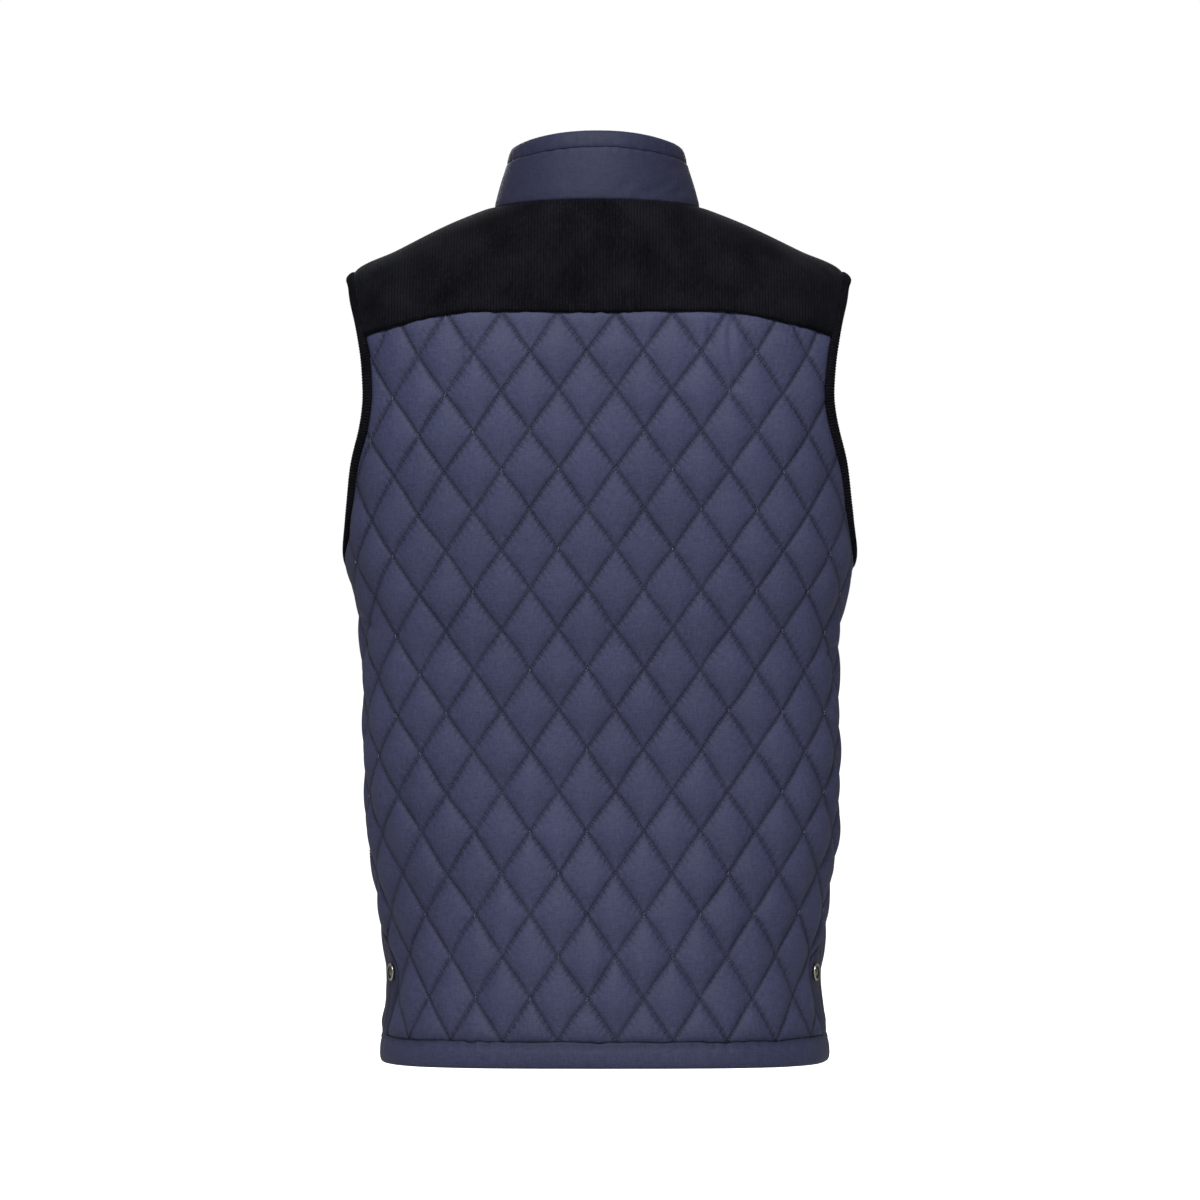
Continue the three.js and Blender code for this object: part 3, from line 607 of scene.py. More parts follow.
def back_panel(finish):
    length, level, top = back_grid(BACK_ROWS * FINE, BACK_COLUMNS * FINE)
    outer = BODY.lifted(length, level, back_face(length, level, top))
    inner = BODY.lifted(length[::FINE, ::FINE], level[::FINE, ::FINE], -QUILT_WALL)
    keep = np.ones((BACK_ROWS, BACK_COLUMNS), bool)
    keep[:5, :VENT_COLUMNS] = False
    keep[:5, -VENT_COLUMNS:] = False
    across = length + BODY.shift(level)
    lattice = lattice_place(*back_lattice(across, level))
    return shell("back_panel_quilt", outer, inner, finish, np.stack([across, level], axis=-1), keep, lattice)


FRONT_ROWS = 40
FRONT_SIDE_ROWS = 22  # of them below the underarm
FRONT_COLUMNS = 17
PLACKET_TUCK = 1.4  # a front panel's pressed edge runs this far under the placket


def front_bound(level):
    """Length round from centre back to a front panel's side edge."""
    reach = front_armhole_reach(level)
    forward = np.where(level > -100, forward_seam_reach(level) + SEAM_GAP / 2, -1e3)
    side = -SIDE_SEAM_REACH + SEAM_GAP / 2
    return BODY.to_side(level) + np.maximum.reduce([reach, forward, np.full(np.shape(level), side)])


def front_length(share, level, hand):
    """Length round for a share from 0 at the placket to 1 at the side."""
    shift = BODY.shift(level)
    placket = BODY.to_front(level) - np.abs(hand * (PLACKET_HALF - PLACKET_TUCK) - shift)
    return hand * (placket + (front_bound(level) - placket) * share)


def front_across(length, level, hand):
    """Distance across from the middle of the front, laid flat, and always positive."""
    return BODY.to_front(level) - np.abs(length) + hand * BODY.shift(level)


def front_face(length, level, hand):
    across = front_across(length, level, hand)
    top = front_height(NECK_LEVEL) - front_height(level)
    hem = level - HEM_SEAM - hem_waver(length)
    edge = np.minimum.reduce([across - PLACKET_HALF, np.abs(length) - front_bound(level), top, hem])
    column, half_row = front_lattice(across, level)
    return quilt_height(column, half_row, across, front_height(level), edge, 23 + hand, FRONT_CREASES)


def front_panel(hand, side, finish):
    lower = np.linspace(HEM_SEAM + SEAM_GAP / 2, UNDERARM, FRONT_SIDE_ROWS * FINE + 1)[:-1]
    upper = np.linspace(UNDERARM, NECK_LEVEL - SEAM_GAP / 2, (FRONT_ROWS - FRONT_SIDE_ROWS) * FINE + 1)
    levels = np.concatenate([lower, upper])
    share = np.linspace(0, 1, FRONT_COLUMNS * FINE + 1)
    level = levels[:, None] + np.zeros(len(share))
    length = front_length(share[None, :], level, hand)
    level = level + hem_waver(length) * np.exp(-(level - levels[0]) / 6.0)
    outer = BODY.lifted(length, level, front_face(length, level, hand))
    inner = BODY.lifted(length[::FINE, ::FINE], level[::FINE, ::FINE], -QUILT_WALL)
    across = front_across(length, level, hand)
    lattice = lattice_place(*front_lattice(across, level))
    flat = np.stack([across, front_height(level)], axis=-1)
    return shell(f"front_panel_quilt_{side}", outer, inner, finish, flat, lattice=lattice)


# Yoke

YOKE_LIP = 1.5  # the yoke's seamed edges lap this far over the quilted panels
YOKE_LIP_ACROSS = 150  # half of the stretch of the back seam that laps
YOKE_ROWS = 14
YOKE_COLUMNS = 64
YOKE_FINE = 4


def yoke_length(across, level):
    side = BODY.to_side(level)
    flat = np.abs(across)
    length = np.where(flat < YOKE_SPREAD, side * flat / YOKE_SPREAD, side + flat - YOKE_SPREAD)
    return np.sign(across) * length


def yoke_across(length, level):
    side = BODY.to_side(level)
    away = np.abs(length)
    return np.sign(length) * np.where(away < side, YOKE_SPREAD * away / side, YOKE_SPREAD + away - side)


def yoke_low_edge():
    """Level of the yoke's lower edge by its laid-out distance across: back seam, then the armhole's top."""
    reach, level = armhole_at(np.concatenate([np.linspace(0.25, 0, 120), np.linspace(1, 0.8, 100)[1:]]))
    armhole_across = yoke_across(BODY.to_side(level) - reach, level)
    across = np.linspace(0, 260, 261)
    seam_across = np.linspace(0, 235, 236)
    seam_level = yoke_seam_level(seam_across)
    seam_flat = yoke_across(seam_across - BODY.shift(seam_level), seam_level)
    seam = np.interp(across, seam_flat, seam_level) + SEAM_GAP / 2
    armhole = np.interp(across, armhole_across, level, left=-1e3)
    return across, np.maximum(seam, np.where(armhole_across[0] < across, armhole, -1e3))


def yoke_grid():
    top = NECK_LEVEL - SEAM_GAP / 2
    share = np.linspace(-1, 1, YOKE_COLUMNS * YOKE_FINE + 1)
    edge_across, edge_level = yoke_low_edge()
    low = np.full(share.shape, -70.0)
    for _ in range(60):
        widest = YOKE_SPREAD + forward_seam_reach(low) - SEAM_GAP / 2
        low = 0.5 * low + 0.5 * np.interp(np.abs(share) * widest, edge_across, edge_level)
    up = np.linspace(0, 1, YOKE_ROWS * YOKE_FINE + 1)[:, None]
    level = low + up * (top - low)
    across = share * (YOKE_SPREAD + forward_seam_reach(level) - SEAM_GAP / 2)
    return across, level, up


YOKE_CREASES = (
    (-60, 20, -84, -10, 0.9, 4.5),
    (-34, 10, -52, -22, 0.6, 5.0),
    (58, 18, 80, -14, 0.8, 4.5),
    (-150, -70, -176, -52, 0.9, 5.0),
    (150, -68, 180, -50, 0.8, 5.0),
    (10, -20, 34, -52, 0.4, 7.0),
)


def yoke(finish):
    across, level, up = yoke_grid()
    real_across = yoke_length(across, level) + BODY.shift(level)
    on_back = np.abs(across[0]) < YOKE_LIP_ACROSS
    level = level + yoke_waver(real_across) * np.exp(-up * 90 / 8.0) * on_back
    before = YOKE_SPREAD + forward_seam_reach(level) - np.abs(across)
    above_seam = up * (level.max(axis=0) - level.min(axis=0))
    below_collar = (1 - up) * 90 + 0 * level
    edge = np.minimum.reduce([above_seam, below_collar, before])
    soft = 1.2 * np.exp(-edge / 2.0) + 0.8 * np.exp(-(1 - up) * 90 / 1.2)
    height = 0.35 * waves(across, level, 50, 31) - soft - trough(across, level, YOKE_CREASES)
    length = yoke_length(across, level)
    inner = BODY.lifted(length, level, -YOKE_WALL - 0.9 * np.exp(-edge / 2.5))[::YOKE_FINE, ::YOKE_FINE]
    lipped = level.copy()
    lipped[0, on_back] -= YOKE_LIP
    lapped = across.copy()
    lapped[:, 0] -= YOKE_LIP
    lapped[:, -1] += YOKE_LIP
    outer = BODY.lifted(yoke_length(lapped, lipped), lipped, np.clip(height, -2.1, 0.8))
    flat = np.stack([across, level], axis=-1)
    return shell("yoke_corduroy", outer, inner, finish, flat)


# Bands along the rings


def band(name, form, profile, steps, length_at, finish, uneven, wavering):
    """Band along a form: profile rows of level and height, closed. uneven adds to the outer heights and
    wavering to the levels."""
    part = np.linspace(0, 1, steps + 1)[:, None]
    level = np.array([row[0] for row in profile], float)[None, :]
    height = np.array([row[1] for row in profile], float)[None, :]
    length = length_at(level, part)
    level = level + np.zeros(length.shape)
    height = height + np.zeros(length.shape)
    outside = height > -2.5
    height = height + np.where(outside, uneven(length, level), 0)
    level = level + wavering(length, level)
    sections = form.lifted(length, level, height)
    distance = np.cumsum([0] + [math.hypot(b[0] - a[0], b[1] - a[1]) for a, b in zip(profile, profile[1:])])
    flat = np.stack([length, distance[None, :] + 0 * length], axis=-1)
    return loft(name, sections, finish, flat)


def collar_length(level, part):
    return (COLLAR.to_front(level) - PLACKET_HALF - SEAM_GAP) * (2 * part - 1) + COLLAR.shift(level)


COLLAR_CREASES = (
    (-30, 31, -74, 52, 0.9, 3.5),
    (-52, 31, -86, 44, 1.0, 3.0),
    (-12, 31, -30, 46, 0.5, 4.0),
    (84, 31, 66, 48, 0.8, 3.5),
    (20, 31, 28, 52, 0.35, 6.0),
    (-90, 62, -60, 56, 0.5, 4.0),
    (150, 34, 130, 56, 0.8, 5.0),
    (-152, 36, -128, 52, 0.8, 5.0),
)


def collar(finish):
    base, top = COLLAR_RINGS["level"][0] - 1.2, COLLAR_SEAM - SEAM_GAP / 2
    outside = [(base, -2.3), (base - 1.4, -1.5), (base - 1.3, -0.9), (base + 1.0, -0.4)]
    for level in np.arange(34, 68, 2.6):
        outside.append((level, 0.25 * math.sin(math.pi * (level - base) / (top - base))))
    outside += [(top - 1.2, -0.25), (top - 0.3, -0.8), (top, -1.6)]
    inside = [(level, -COLLAR_WALL) for level in np.linspace(top, base, 9)]

    def uneven(length, level):
        pucker = 0.22 * np.sin(length * 2 * math.pi / 11 + 2.0 * waves(length, 0 * level, 30, 5))
        return (
            0.35 * waves(length, level, 32, 41)
            + pucker * np.exp(-(top - level) / 4.0)
            - trough(length, level, COLLAR_CREASES)
        )

    def wavering(length, level):
        return roll_waver(length) * np.exp(-(top - level) / 5.0)

    return band("collar_stand", COLLAR, outside + inside, 400, collar_length, finish, uneven, wavering)


def collar_roll(finish):
    low, top = COLLAR_SEAM + SEAM_GAP / 2, COLLAR_RINGS["level"][-1]
    profile = [
        (low - 0.2, -1.7),
        (low - 0.1, -0.9),
        (low + 0.8, -0.3),
        (low + 3, 0.0),
        (low + 6, 0.1),
        (low + 9, 0.0),
        (top - 2.2, -0.6),
        (top - 0.8, -1.6),
        (top - 0.3, -2.6),
        (top - 0.9, -3.8),
        (top - 2.4, -4.6),
        (low + 8, -ROLL_WALL),
        (low + 4, -ROLL_WALL),
        (low, -ROLL_WALL + 0.6),
    ]

    def uneven(length, level):
        pucker = 0.3 * np.sin(length * 2 * math.pi / 12.5 + 2.4 * waves(length, 0 * level, 26, 6))
        return 0.3 * waves(length, level, 24, 43) + pucker * np.exp(-(level - low) / 5.0)

    def wavering(length, level):
        return roll_waver(length) * np.exp(-np.clip(level - low, 0, None) / 5.0)

    return band("collar_roll_edge", COLLAR, profile, 400, collar_length, finish, uneven, wavering)


def hem_profile():
    top = HEM_SEAM - SEAM_GAP / 2
    low, deep = HEM_BOTTOM, -HEM_WALL
    seam = [(top, -2.3), (top + 1.0, -1.9), (top + 0.7, -1.2), (top - 1.6, -0.5), (top - 4.2, -0.75)]
    outside = [(top - 6, -0.1), (top - 9, 0.2), (top - 12, 0.25), (low + 5, 0.1), (low + 2.4, -0.45)]
    fold = [(low + 0.8, -1.3), (low + 0.2, -2.4), (low + 0.8, -3.8)]
    inside = [(low + 3, deep + 0.3), (low + 8, deep), (top - 5, deep), (top, deep)]
    return seam + outside + fold + inside


def hem_uneven(length, level):
    away = np.clip(HEM_SEAM - level, 0, None)
    pucker = 0.4 * np.sin(length * 2 * math.pi / 13 + 3 * waves(length, 0 * level, 30, 8))
    pucker = pucker * np.exp(-away / 6.0)
    return (pucker + 0.35 * waves(length, level, 26, 47)) * (1 - np.exp(-away / 1.5))


def hem_wavering(length, level):
    return hem_waver(length) * np.exp(-np.clip(HEM_SEAM - level, 0, None) / 6.0)


def back_hem_band(finish):
    def length_at(level, part):
        return (BODY.to_side(level) - SIDE_SEAM_REACH - SEAM_GAP / 2) * (2 * part - 1)

    return band("hem_band_back_fold", BODY, hem_profile(), 400, length_at, finish, hem_uneven, hem_wavering)


def front_hem_band(hand, side, finish):
    def length_at(level, part):
        start = BODY.to_side(level) - SIDE_SEAM_REACH + SEAM_GAP / 2
        end = BODY.to_front(level) - PLACKET_HALF - SEAM_GAP + hand * BODY.shift(level)
        return hand * (start + (end - start) * part)

    name = f"hem_band_front_fold_{side}"
    return band(name, BODY, hem_profile(), 200, length_at, finish, hem_uneven, hem_wavering)


VENT_CREASES = (
    (34, -566, 26, -600, 0.8, 4.0),
    (20, -590, 30, -640, 0.7, 4.5),
    (44, -610, 38, -640, 0.9, 3.0),
)


def vent_strip(hand, side, finish):
    levels = np.linspace(HEM_SEAM + SEAM_GAP / 2, VENT_TOP - SEAM_GAP / 2, 49)
    part = np.linspace(0, 1, 25)
    level = levels[:, None] + 0 * part
    inner_edge, outer_edge = vent_reach(level) - SEAM_GAP / 2, SIDE_SEAM_REACH + SEAM_GAP / 2
    reach = inner_edge + (outer_edge - inner_edge) * part + 0 * level
    length = hand * (BODY.to_side(level) - reach)
    edge = np.minimum.reduce([inner_edge - reach, reach - outer_edge, levels[-1] - level, level - levels[0]])
    height = -VENT_SINK - 1.2 * np.exp(-edge / 1.8) + 0.4 * waves(reach, level, 22, 51 + hand)
    height = height - trough(reach, level, VENT_CREASES)
    outer = BODY.lifted(length, level, height)
    inner = BODY.lifted(length, level, -VENT_SINK - VENT_WALL)[::4, ::4]
    flat = np.stack([reach + 0 * level, level], axis=-1)
    return shell(f"vent_strip_cloth_{side}", outer, inner, finish, flat)


# Armhole bindings

BINDING_SECTION = 14


def armhole_binding(hand, side, finish):
    t = np.linspace(0, 1, 4001)
    reach, level = armhole_at(t)
    line = BODY.point(hand * (BODY.to_side(level) - reach), level)
    steps = np.concatenate([[0], np.cumsum(np.linalg.norm(np.diff(line, axis=0), axis=1))])
    wales = round(steps[-1] / WALE)
    count = 4 * wales
    at = np.interp(np.arange(count) * steps[-1] / count, steps, t)
    reach, level = armhole_at(at)
    length = hand * (BODY.to_side(level) - reach)
    edge, normal = BODY.point(length, level), BODY.normal(length, level)
    along = unit(np.roll(edge, -3, axis=0) - np.roll(edge, 3, axis=0))
    inward = unit(np.cross(along, normal)) * hand
    distance = np.arange(count) * steps[-1] / count
    ridge = np.tile([0, 0.62, 1, 0.62], wales)
    turn = 2 * math.pi * (np.arange(BINDING_SECTION) + 0.5) / BINDING_SECTION
    around, lift = np.cos(turn)[None, :], np.sin(turn)[None, :]
    half_width = BINDING_WIDTH / 2 + 0.55 * (ridge - 0.75)[:, None]
    half_width = half_width + 0.3 * waves(distance, 0 * distance, 30, 61 + hand)[:, None]
    half_thick = BINDING_THICKNESS / 2 + 0.45 * (ridge - 0.75)[:, None]
    shape_in = np.sign(around) * np.abs(around) ** 0.8
    middle = edge + inward * (BINDING_WIDTH / 2 - BINDING_LAP) - normal * QUILT_WALL / 2
    sections = (
        middle[:, None, :]
        + inward[:, None, :] * (shape_in * half_width)[..., None]
        + normal[:, None, :] * (lift * half_thick)[..., None]
    )
    flat = np.stack(np.broadcast_arrays(distance[:, None], turn[None, :] * 4), axis=-1)
    return loft(f"armhole_binding_corduroy_{side}", sections, finish, flat, closed=True)


# Front strips


def front_strip(name, half, high, wall, columns, finish, uneven):
    top = COLLAR_RINGS["level"][-1] - 0.4
    body = np.concatenate([[HEM_BOTTOM], np.linspace(HEM_BOTTOM + 0.5, NECK_LEVEL - 3, 150)])
    stand = np.concatenate([np.linspace(COLLAR_RINGS["level"][0] + 3, top - 0.5, 24), [top]])
    across = np.linspace(-half, half, columns)
    stations = []
    for form, levels in ((BODY, body), (COLLAR, stand)):
        level = levels[:, None] + 0 * across
        shift = form.shift(level)
        length = np.where(across >= shift, 1, -1) * (form.to_front(level) - np.abs(across - shift))
        near = np.sign(length) * np.minimum(np.abs(length), form.to_front(level) - PROBE)
        point, normal = form.point(length, level), form.normal(near, level)
        soft = 0.9 * np.exp(-(half - np.abs(across)) / 1.3)
        raised = high - soft + uneven(across + 0 * level, level)
        stations.append(
            np.concatenate(
                [point + normal * raised[..., None], (point + normal * (high - wall))[:, ::-1]],
                axis=1,
            )
        )
    sections = np.concatenate(stations)
    places = np.arange(len(sections)) * 5.0
    width = np.concatenate([across, 4 * half - across[::-1]])
    flat = np.stack(np.broadcast_arrays(width[None, :], places[:, None]), axis=-1)
    return loft(name, sections, finish, flat)


STITCH_INSET = 5  # of the placket's stitching from its edges


def front_placket(finish):
    def uneven(across, level):
        rows = np.exp(-((np.abs(across) - PLACKET_HALF + STITCH_INSET) ** 2) / 2.0)
        return 0.3 * waves(across, level, 26, 71) - 0.35 * rows

    return front_strip("front_placket_cloth", PLACKET_HALF, 0.1, PLACKET_WALL, 23, finish, uneven)


def front_underlap(finish):
    def even(across, level):
        return 0 * across

    high = -PLACKET_WALL - 0.4
    return front_strip("front_underlap_cloth", UNDERLAP_HALF, high, UNDERLAP_WALL, 9, finish, even)


# Press studs

STUD_PROFILE = (
    (0, 0),
    (6.0, 0),
    (6.7, 0.3),
    (7.05, 0.8),
    (7.05, 1.3),
    (6.7, 1.85),
    (6.15, 2.1),
    (5.6, 1.95),
    (5.2, 1.4),
    (4.8, 1.05),
    (3.4, 1.0),
    (2.9, 1.25),
    (2.3, 1.6),
    (1.3, 1.75),
    (0, 1.8),
)
STUD_SIDES = 40


def stud(name, form, length, level, sink, finish):
    """Turned cap of a press stud: raised rim, sunk ring and low crown."""
    centre = form.point(length, level)
    normal = form.normal(length, level)
    side = unit(np.cross(normal, [0, 0, 1.0]))
    up = np.cross(side, normal)
    base = centre + normal * (0.45 - sink)
    turn = 2 * math.pi * np.arange(STUD_SIDES) / STUD_SIDES
    points = [base]
    for radius, height in STUD_PROFILE[1:-1]:
        ring = np.cos(turn)[:, None] * side + np.sin(turn)[:, None] * up
        points.extend(base + ring * radius + normal * height)
    points.append(base + normal * STUD_PROFILE[-1][1])
    faces = []
    rings = len(STUD_PROFILE) - 2
    for k in range(STUD_SIDES):
        after = (k + 1) % STUD_SIDES
        faces.append([0, 1 + after, 1 + k])
        for ring in range(rings - 1):
            low, high = 1 + ring * STUD_SIDES, 1 + (ring + 1) * STUD_SIDES
            faces.append([low + k, low + after, high + after, high + k])
        last = 1 + (rings - 1) * STUD_SIDES
        faces.append([last + k, last + after, len(points) - 1])
    return outwards(add_object(name, points, faces, finish))


# Sewing


def inside_runs(points, inside, least=3):
    """Runs of points that lie inside, as separate lines."""
    runs, run = [], []
    for point, kept in zip(points, inside):
        if kept:
            run.append(point)
            continue
        if len(run) >= least:
            runs.append(np.array(run))
        run = []
    if len(run) >= least:
        runs.append(np.array(run))
    return runs


def back_quilting():
    """Stitched lines over the back panel."""
    lines = []
    half_row = np.arange(-19, 1.2, 0.08)
    for slope in (1, -1):
        for number in range(-34, 36):
            column = 2 * number - slope * half_row
            across = LATTICE_MIDDLE + column * DIAMOND_WIDTH / 2
            height = height_of_row(half_row)
            level = height - back_droop(across, height)
            aside, up = wander(across, level, 91)
            across, level = across - aside, np.clip(level - up, HEM_BOTTOM, 0)
            length = across - BODY.shift(level)
            top = yoke_seam_level(across)
            away = np.abs(length)
            inside = (away < back_bound(level) - 1.5) & (level < top - 1.5) & (level > HEM_SEAM + 1.5)
            inside &= (level > VENT_TOP + 1.5) | (away < BODY.to_side(level) - vent_reach(level) - 2)
            points = BODY.lifted(length, level, back_face(length, level, top) + 0.3)
            lines += inside_runs(points, inside)
    return lines


def front_quilting(hand):
    lines = []
    half_row = np.arange(-19, 2, 0.08)
    level_grid = np.linspace(HEM_SEAM, NECK_LEVEL, 2000)
    heights = front_height(level_grid)
    for slope in (1, -1):
        for number in range(-20, 26):
            column = 2 * number - slope * half_row
            across = column * DIAMOND_WIDTH / 2
            height = height_of_row(half_row)
            aside, up = wander(across, height, 95)
            across, height = across - aside, height - up
            level = np.interp(height, heights, level_grid)
            length = hand * (BODY.to_front(level) - across + hand * BODY.shift(level))
            inside = (across > PLACKET_HALF + 1.5) & (np.abs(length) > front_bound(level) + 1.5)
            inside &= (height < heights[-1] - 1.5) & (height > HEM_SEAM + 1.5)
            length = hand * np.clip(np.abs(length), 1, BODY.to_front(level) - 1)
            points = BODY.lifted(length, level, front_face(length, level, hand) + 0.3)
            lines += inside_runs(points, inside)
    return lines


def crossings():
    """Places where quilting lines cross on the back, with the direction up the cloth."""
    marks = []
    turn = np.random.default_rng(SEED + 1)
    for half_row in range(-18, 1):
        for column in range(-13, 15):
            if (column + half_row) % 2 or turn.random() > 0.4:
                continue
            across = LATTICE_MIDDLE + column * DIAMOND_WIDTH / 2
            height = height_of_row(half_row)
            level = min(height - back_droop(across, height), yoke_seam_level(across) - 2.6)
            length = across - BODY.shift(level)
            if abs(length) > back_bound(level) - 4 or level < HEM_SEAM + 8:
                continue
            if level < VENT_TOP + 4 and abs(length) > BODY.to_side(level) - vent_reach(level) - 4:
                continue
            half = turn.uniform(0.5, 1.1)
            lean = turn.uniform(-0.5, 0.5)
            ends = [(length - lean * half, level - half), (length + lean * half, level + half)]
            marks.append(np.array([BODY.lifted(a, b, np.array(-QUILT_SINK + 0.75)) for a, b in ends]))
    return marks


HEM_STITCH = 0.6  # the hem's stitches lie this far above its seam


def ring_line(form, level, from_length, to_length, height):
    count = max(4, int(abs(to_length - from_length) / 1.5))
    length = np.linspace(from_length, to_length, count)
    level = level + hem_waver(length)
    return form.lifted(length, level, height(length, level))


def hem_stitching():
    """One row along the hem seam, all round."""
    level = HEM_SEAM + HEM_STITCH
    side = BODY.to_side(level) - SIDE_SEAM_REACH

    def height(length, at):
        return -1.9 + 0 * length

    lines = [ring_line(BODY, level, -side + 1.5, side - 1.5, height)]
    for hand in (1, -1):
        end = BODY.to_front(level) - PLACKET_HALF + hand * BODY.shift(level) - 2
        lines.append(ring_line(BODY, level, hand * (side + 1.5), hand * end, height))
    return lines


def placket_stitching():
    lines = []
    levels = np.linspace(HEM_BOTTOM + 6, NECK_LEVEL - 4, 190)
    for across in (PLACKET_HALF - STITCH_INSET, STITCH_INSET - PLACKET_HALF):
        shift = BODY.shift(levels)
        length = np.where(across >= shift, 1, -1) * (BODY.to_front(levels) - np.abs(across - shift))
        height = 0.1 + 0.3 * waves(across + 0 * levels, levels, 26, 71) - 0.25
        lines.append(BODY.lifted(length, levels, height))
    return lines


def stitch_tree():
    """Geometry nodes that lay stitches along the edges of a mesh."""
    tree = bpy.data.node_groups.new("Stitches along lines", "GeometryNodeTree")
    face = tree.interface
    face.new_socket("Geometry", in_out="INPUT", socket_type="NodeSocketGeometry")
    for name, value in (("Pitch", 0.0026), ("Stitch length", 0.0019), ("Thread", 0.00055)):
        socket = face.new_socket(name, in_out="INPUT", socket_type="NodeSocketFloat")
        socket.default_value = value
    for name, value in (("Sides", 6), ("Rings", 3)):
        face.new_socket(name, in_out="INPUT", socket_type="NodeSocketInt").default_value = value
    face.new_socket("Material", in_out="INPUT", socket_type="NodeSocketMaterial")
    face.new_socket("Geometry", in_out="OUTPUT", socket_type="NodeSocketGeometry")
    nodes, links = tree.nodes, tree.links
    given = nodes.new("NodeGroupInput")
    result = nodes.new("NodeGroupOutput")
    curve = nodes.new("GeometryNodeMeshToCurve")
    resample = nodes.new("GeometryNodeResampleCurve")
    resample.mode = "LENGTH"
    tangent = nodes.new("GeometryNodeInputTangent")
    align = nodes.new("FunctionNodeAlignRotationToVector")
    align.axis = "X"
    ball = nodes.new("GeometryNodeMeshUVSphere")
    ball.inputs["Radius"].default_value = 0.5
    size = nodes.new("ShaderNodeCombineXYZ")
    place = nodes.new("GeometryNodeInstanceOnPoints")
    realize = nodes.new("GeometryNodeRealizeInstances")
    smooth = nodes.new("GeometryNodeSetShadeSmooth")
    finish = nodes.new("GeometryNodeSetMaterial")
    links.new(given.outputs["Geometry"], curve.inputs["Mesh"])
    links.new(curve.outputs["Curve"], resample.inputs["Curve"])
    links.new(given.outputs["Pitch"], resample.inputs["Length"])
    links.new(resample.outputs["Curve"], place.inputs["Points"])
    links.new(given.outputs["Sides"], ball.inputs["Segments"])
    links.new(given.outputs["Rings"], ball.inputs["Rings"])
    links.new(ball.outputs["Mesh"], place.inputs["Instance"])
    links.new(tangent.outputs["Tangent"], align.inputs["Vector"])
    links.new(align.outputs["Rotation"], place.inputs["Rotation"])
    links.new(given.outputs["Stitch length"], size.inputs["X"])
    links.new(given.outputs["Thread"], size.inputs["Y"])
    links.new(given.outputs["Thread"], size.inputs["Z"])
    links.new(size.outputs["Vector"], place.inputs["Scale"])
    links.new(place.outputs["Instances"], realize.inputs["Geometry"])
    links.new(realize.outputs["Geometry"], smooth.inputs["Geometry"])
    links.new(smooth.outputs["Geometry"], finish.inputs["Geometry"])
    links.new(given.outputs["Material"], finish.inputs["Material"])
    links.new(finish.outputs["Geometry"], result.inputs["Geometry"])
    return tree


def sewn_lines(name, lines, tree, finish, sizes):
    """Stitches along lines, made once and kept as a plain mesh."""
    points = np.concatenate(lines) * MM
    edges, start = [], 0
    for line in lines:
        edges += [(start + k, start + k + 1) for k in range(len(line) - 1)]
        start += len(line)
    guide = bpy.data.meshes.new(name + "_lines")
    guide.from_pydata(points.tolist(), edges, [])
    piece = bpy.data.objects.new(name, guide)
    bpy.context.scene.collection.objects.link(piece)
    modifier = piece.modifiers.new("Stitches", "NODES")
    modifier.node_group = tree
    named = {item.name: item.identifier for item in tree.interface.items_tree if item.in_out == "INPUT"}
    for label, value in sizes.items():
        modifier[named[label]] = value
    modifier[named["Material"]] = finish
    evaluated = piece.evaluated_get(bpy.context.evaluated_depsgraph_get())
    made = bpy.data.meshes.new_from_object(evaluated)
    piece.modifiers.clear()
    piece.data = made
    made.name = name
    bpy.data.meshes.remove(guide)
    return piece


# Materials


def new_group(name, inputs, outputs):
    group = bpy.data.node_groups.new(name, "ShaderNodeTree")
    for label, kind, value in inputs:
        socket = group.interface.new_socket(label, in_out="INPUT", socket_type=kind)
        if value is not None:
            socket.default_value = value
    for label, kind in outputs:
        group.interface.new_socket(label, in_out="OUTPUT", socket_type=kind)
    return group, group.nodes.new("NodeGroupInput"), group.nodes.new("NodeGroupOutput")


def node(tree, kind, **settings):
    made = tree.nodes.new(kind)
    for name, value in settings.items():
        setattr(made, name, value)
    return made


def maths(tree, operation, first, second=None):
    made = node(tree, "ShaderNodeMath", operation=operation)
    for socket, value in zip(made.inputs, (first, second)):
        if value is None:
            continue
        if isinstance(value, (int, float)):
            socket.default_value = value
        else:
            tree.links.new(value, socket)
    return made.outputs[0]


def noise(tree, vector, scale, detail=2.0, rough=0.5):
    made = node(tree, "ShaderNodeTexNoise")
    made.inputs["Scale"].default_value = scale
    made.inputs["Detail"].default_value = detail
    made.inputs["Roughness"].default_value = rough
    tree.links.new(vector, made.inputs["Vector"])
    return made.outputs[0]


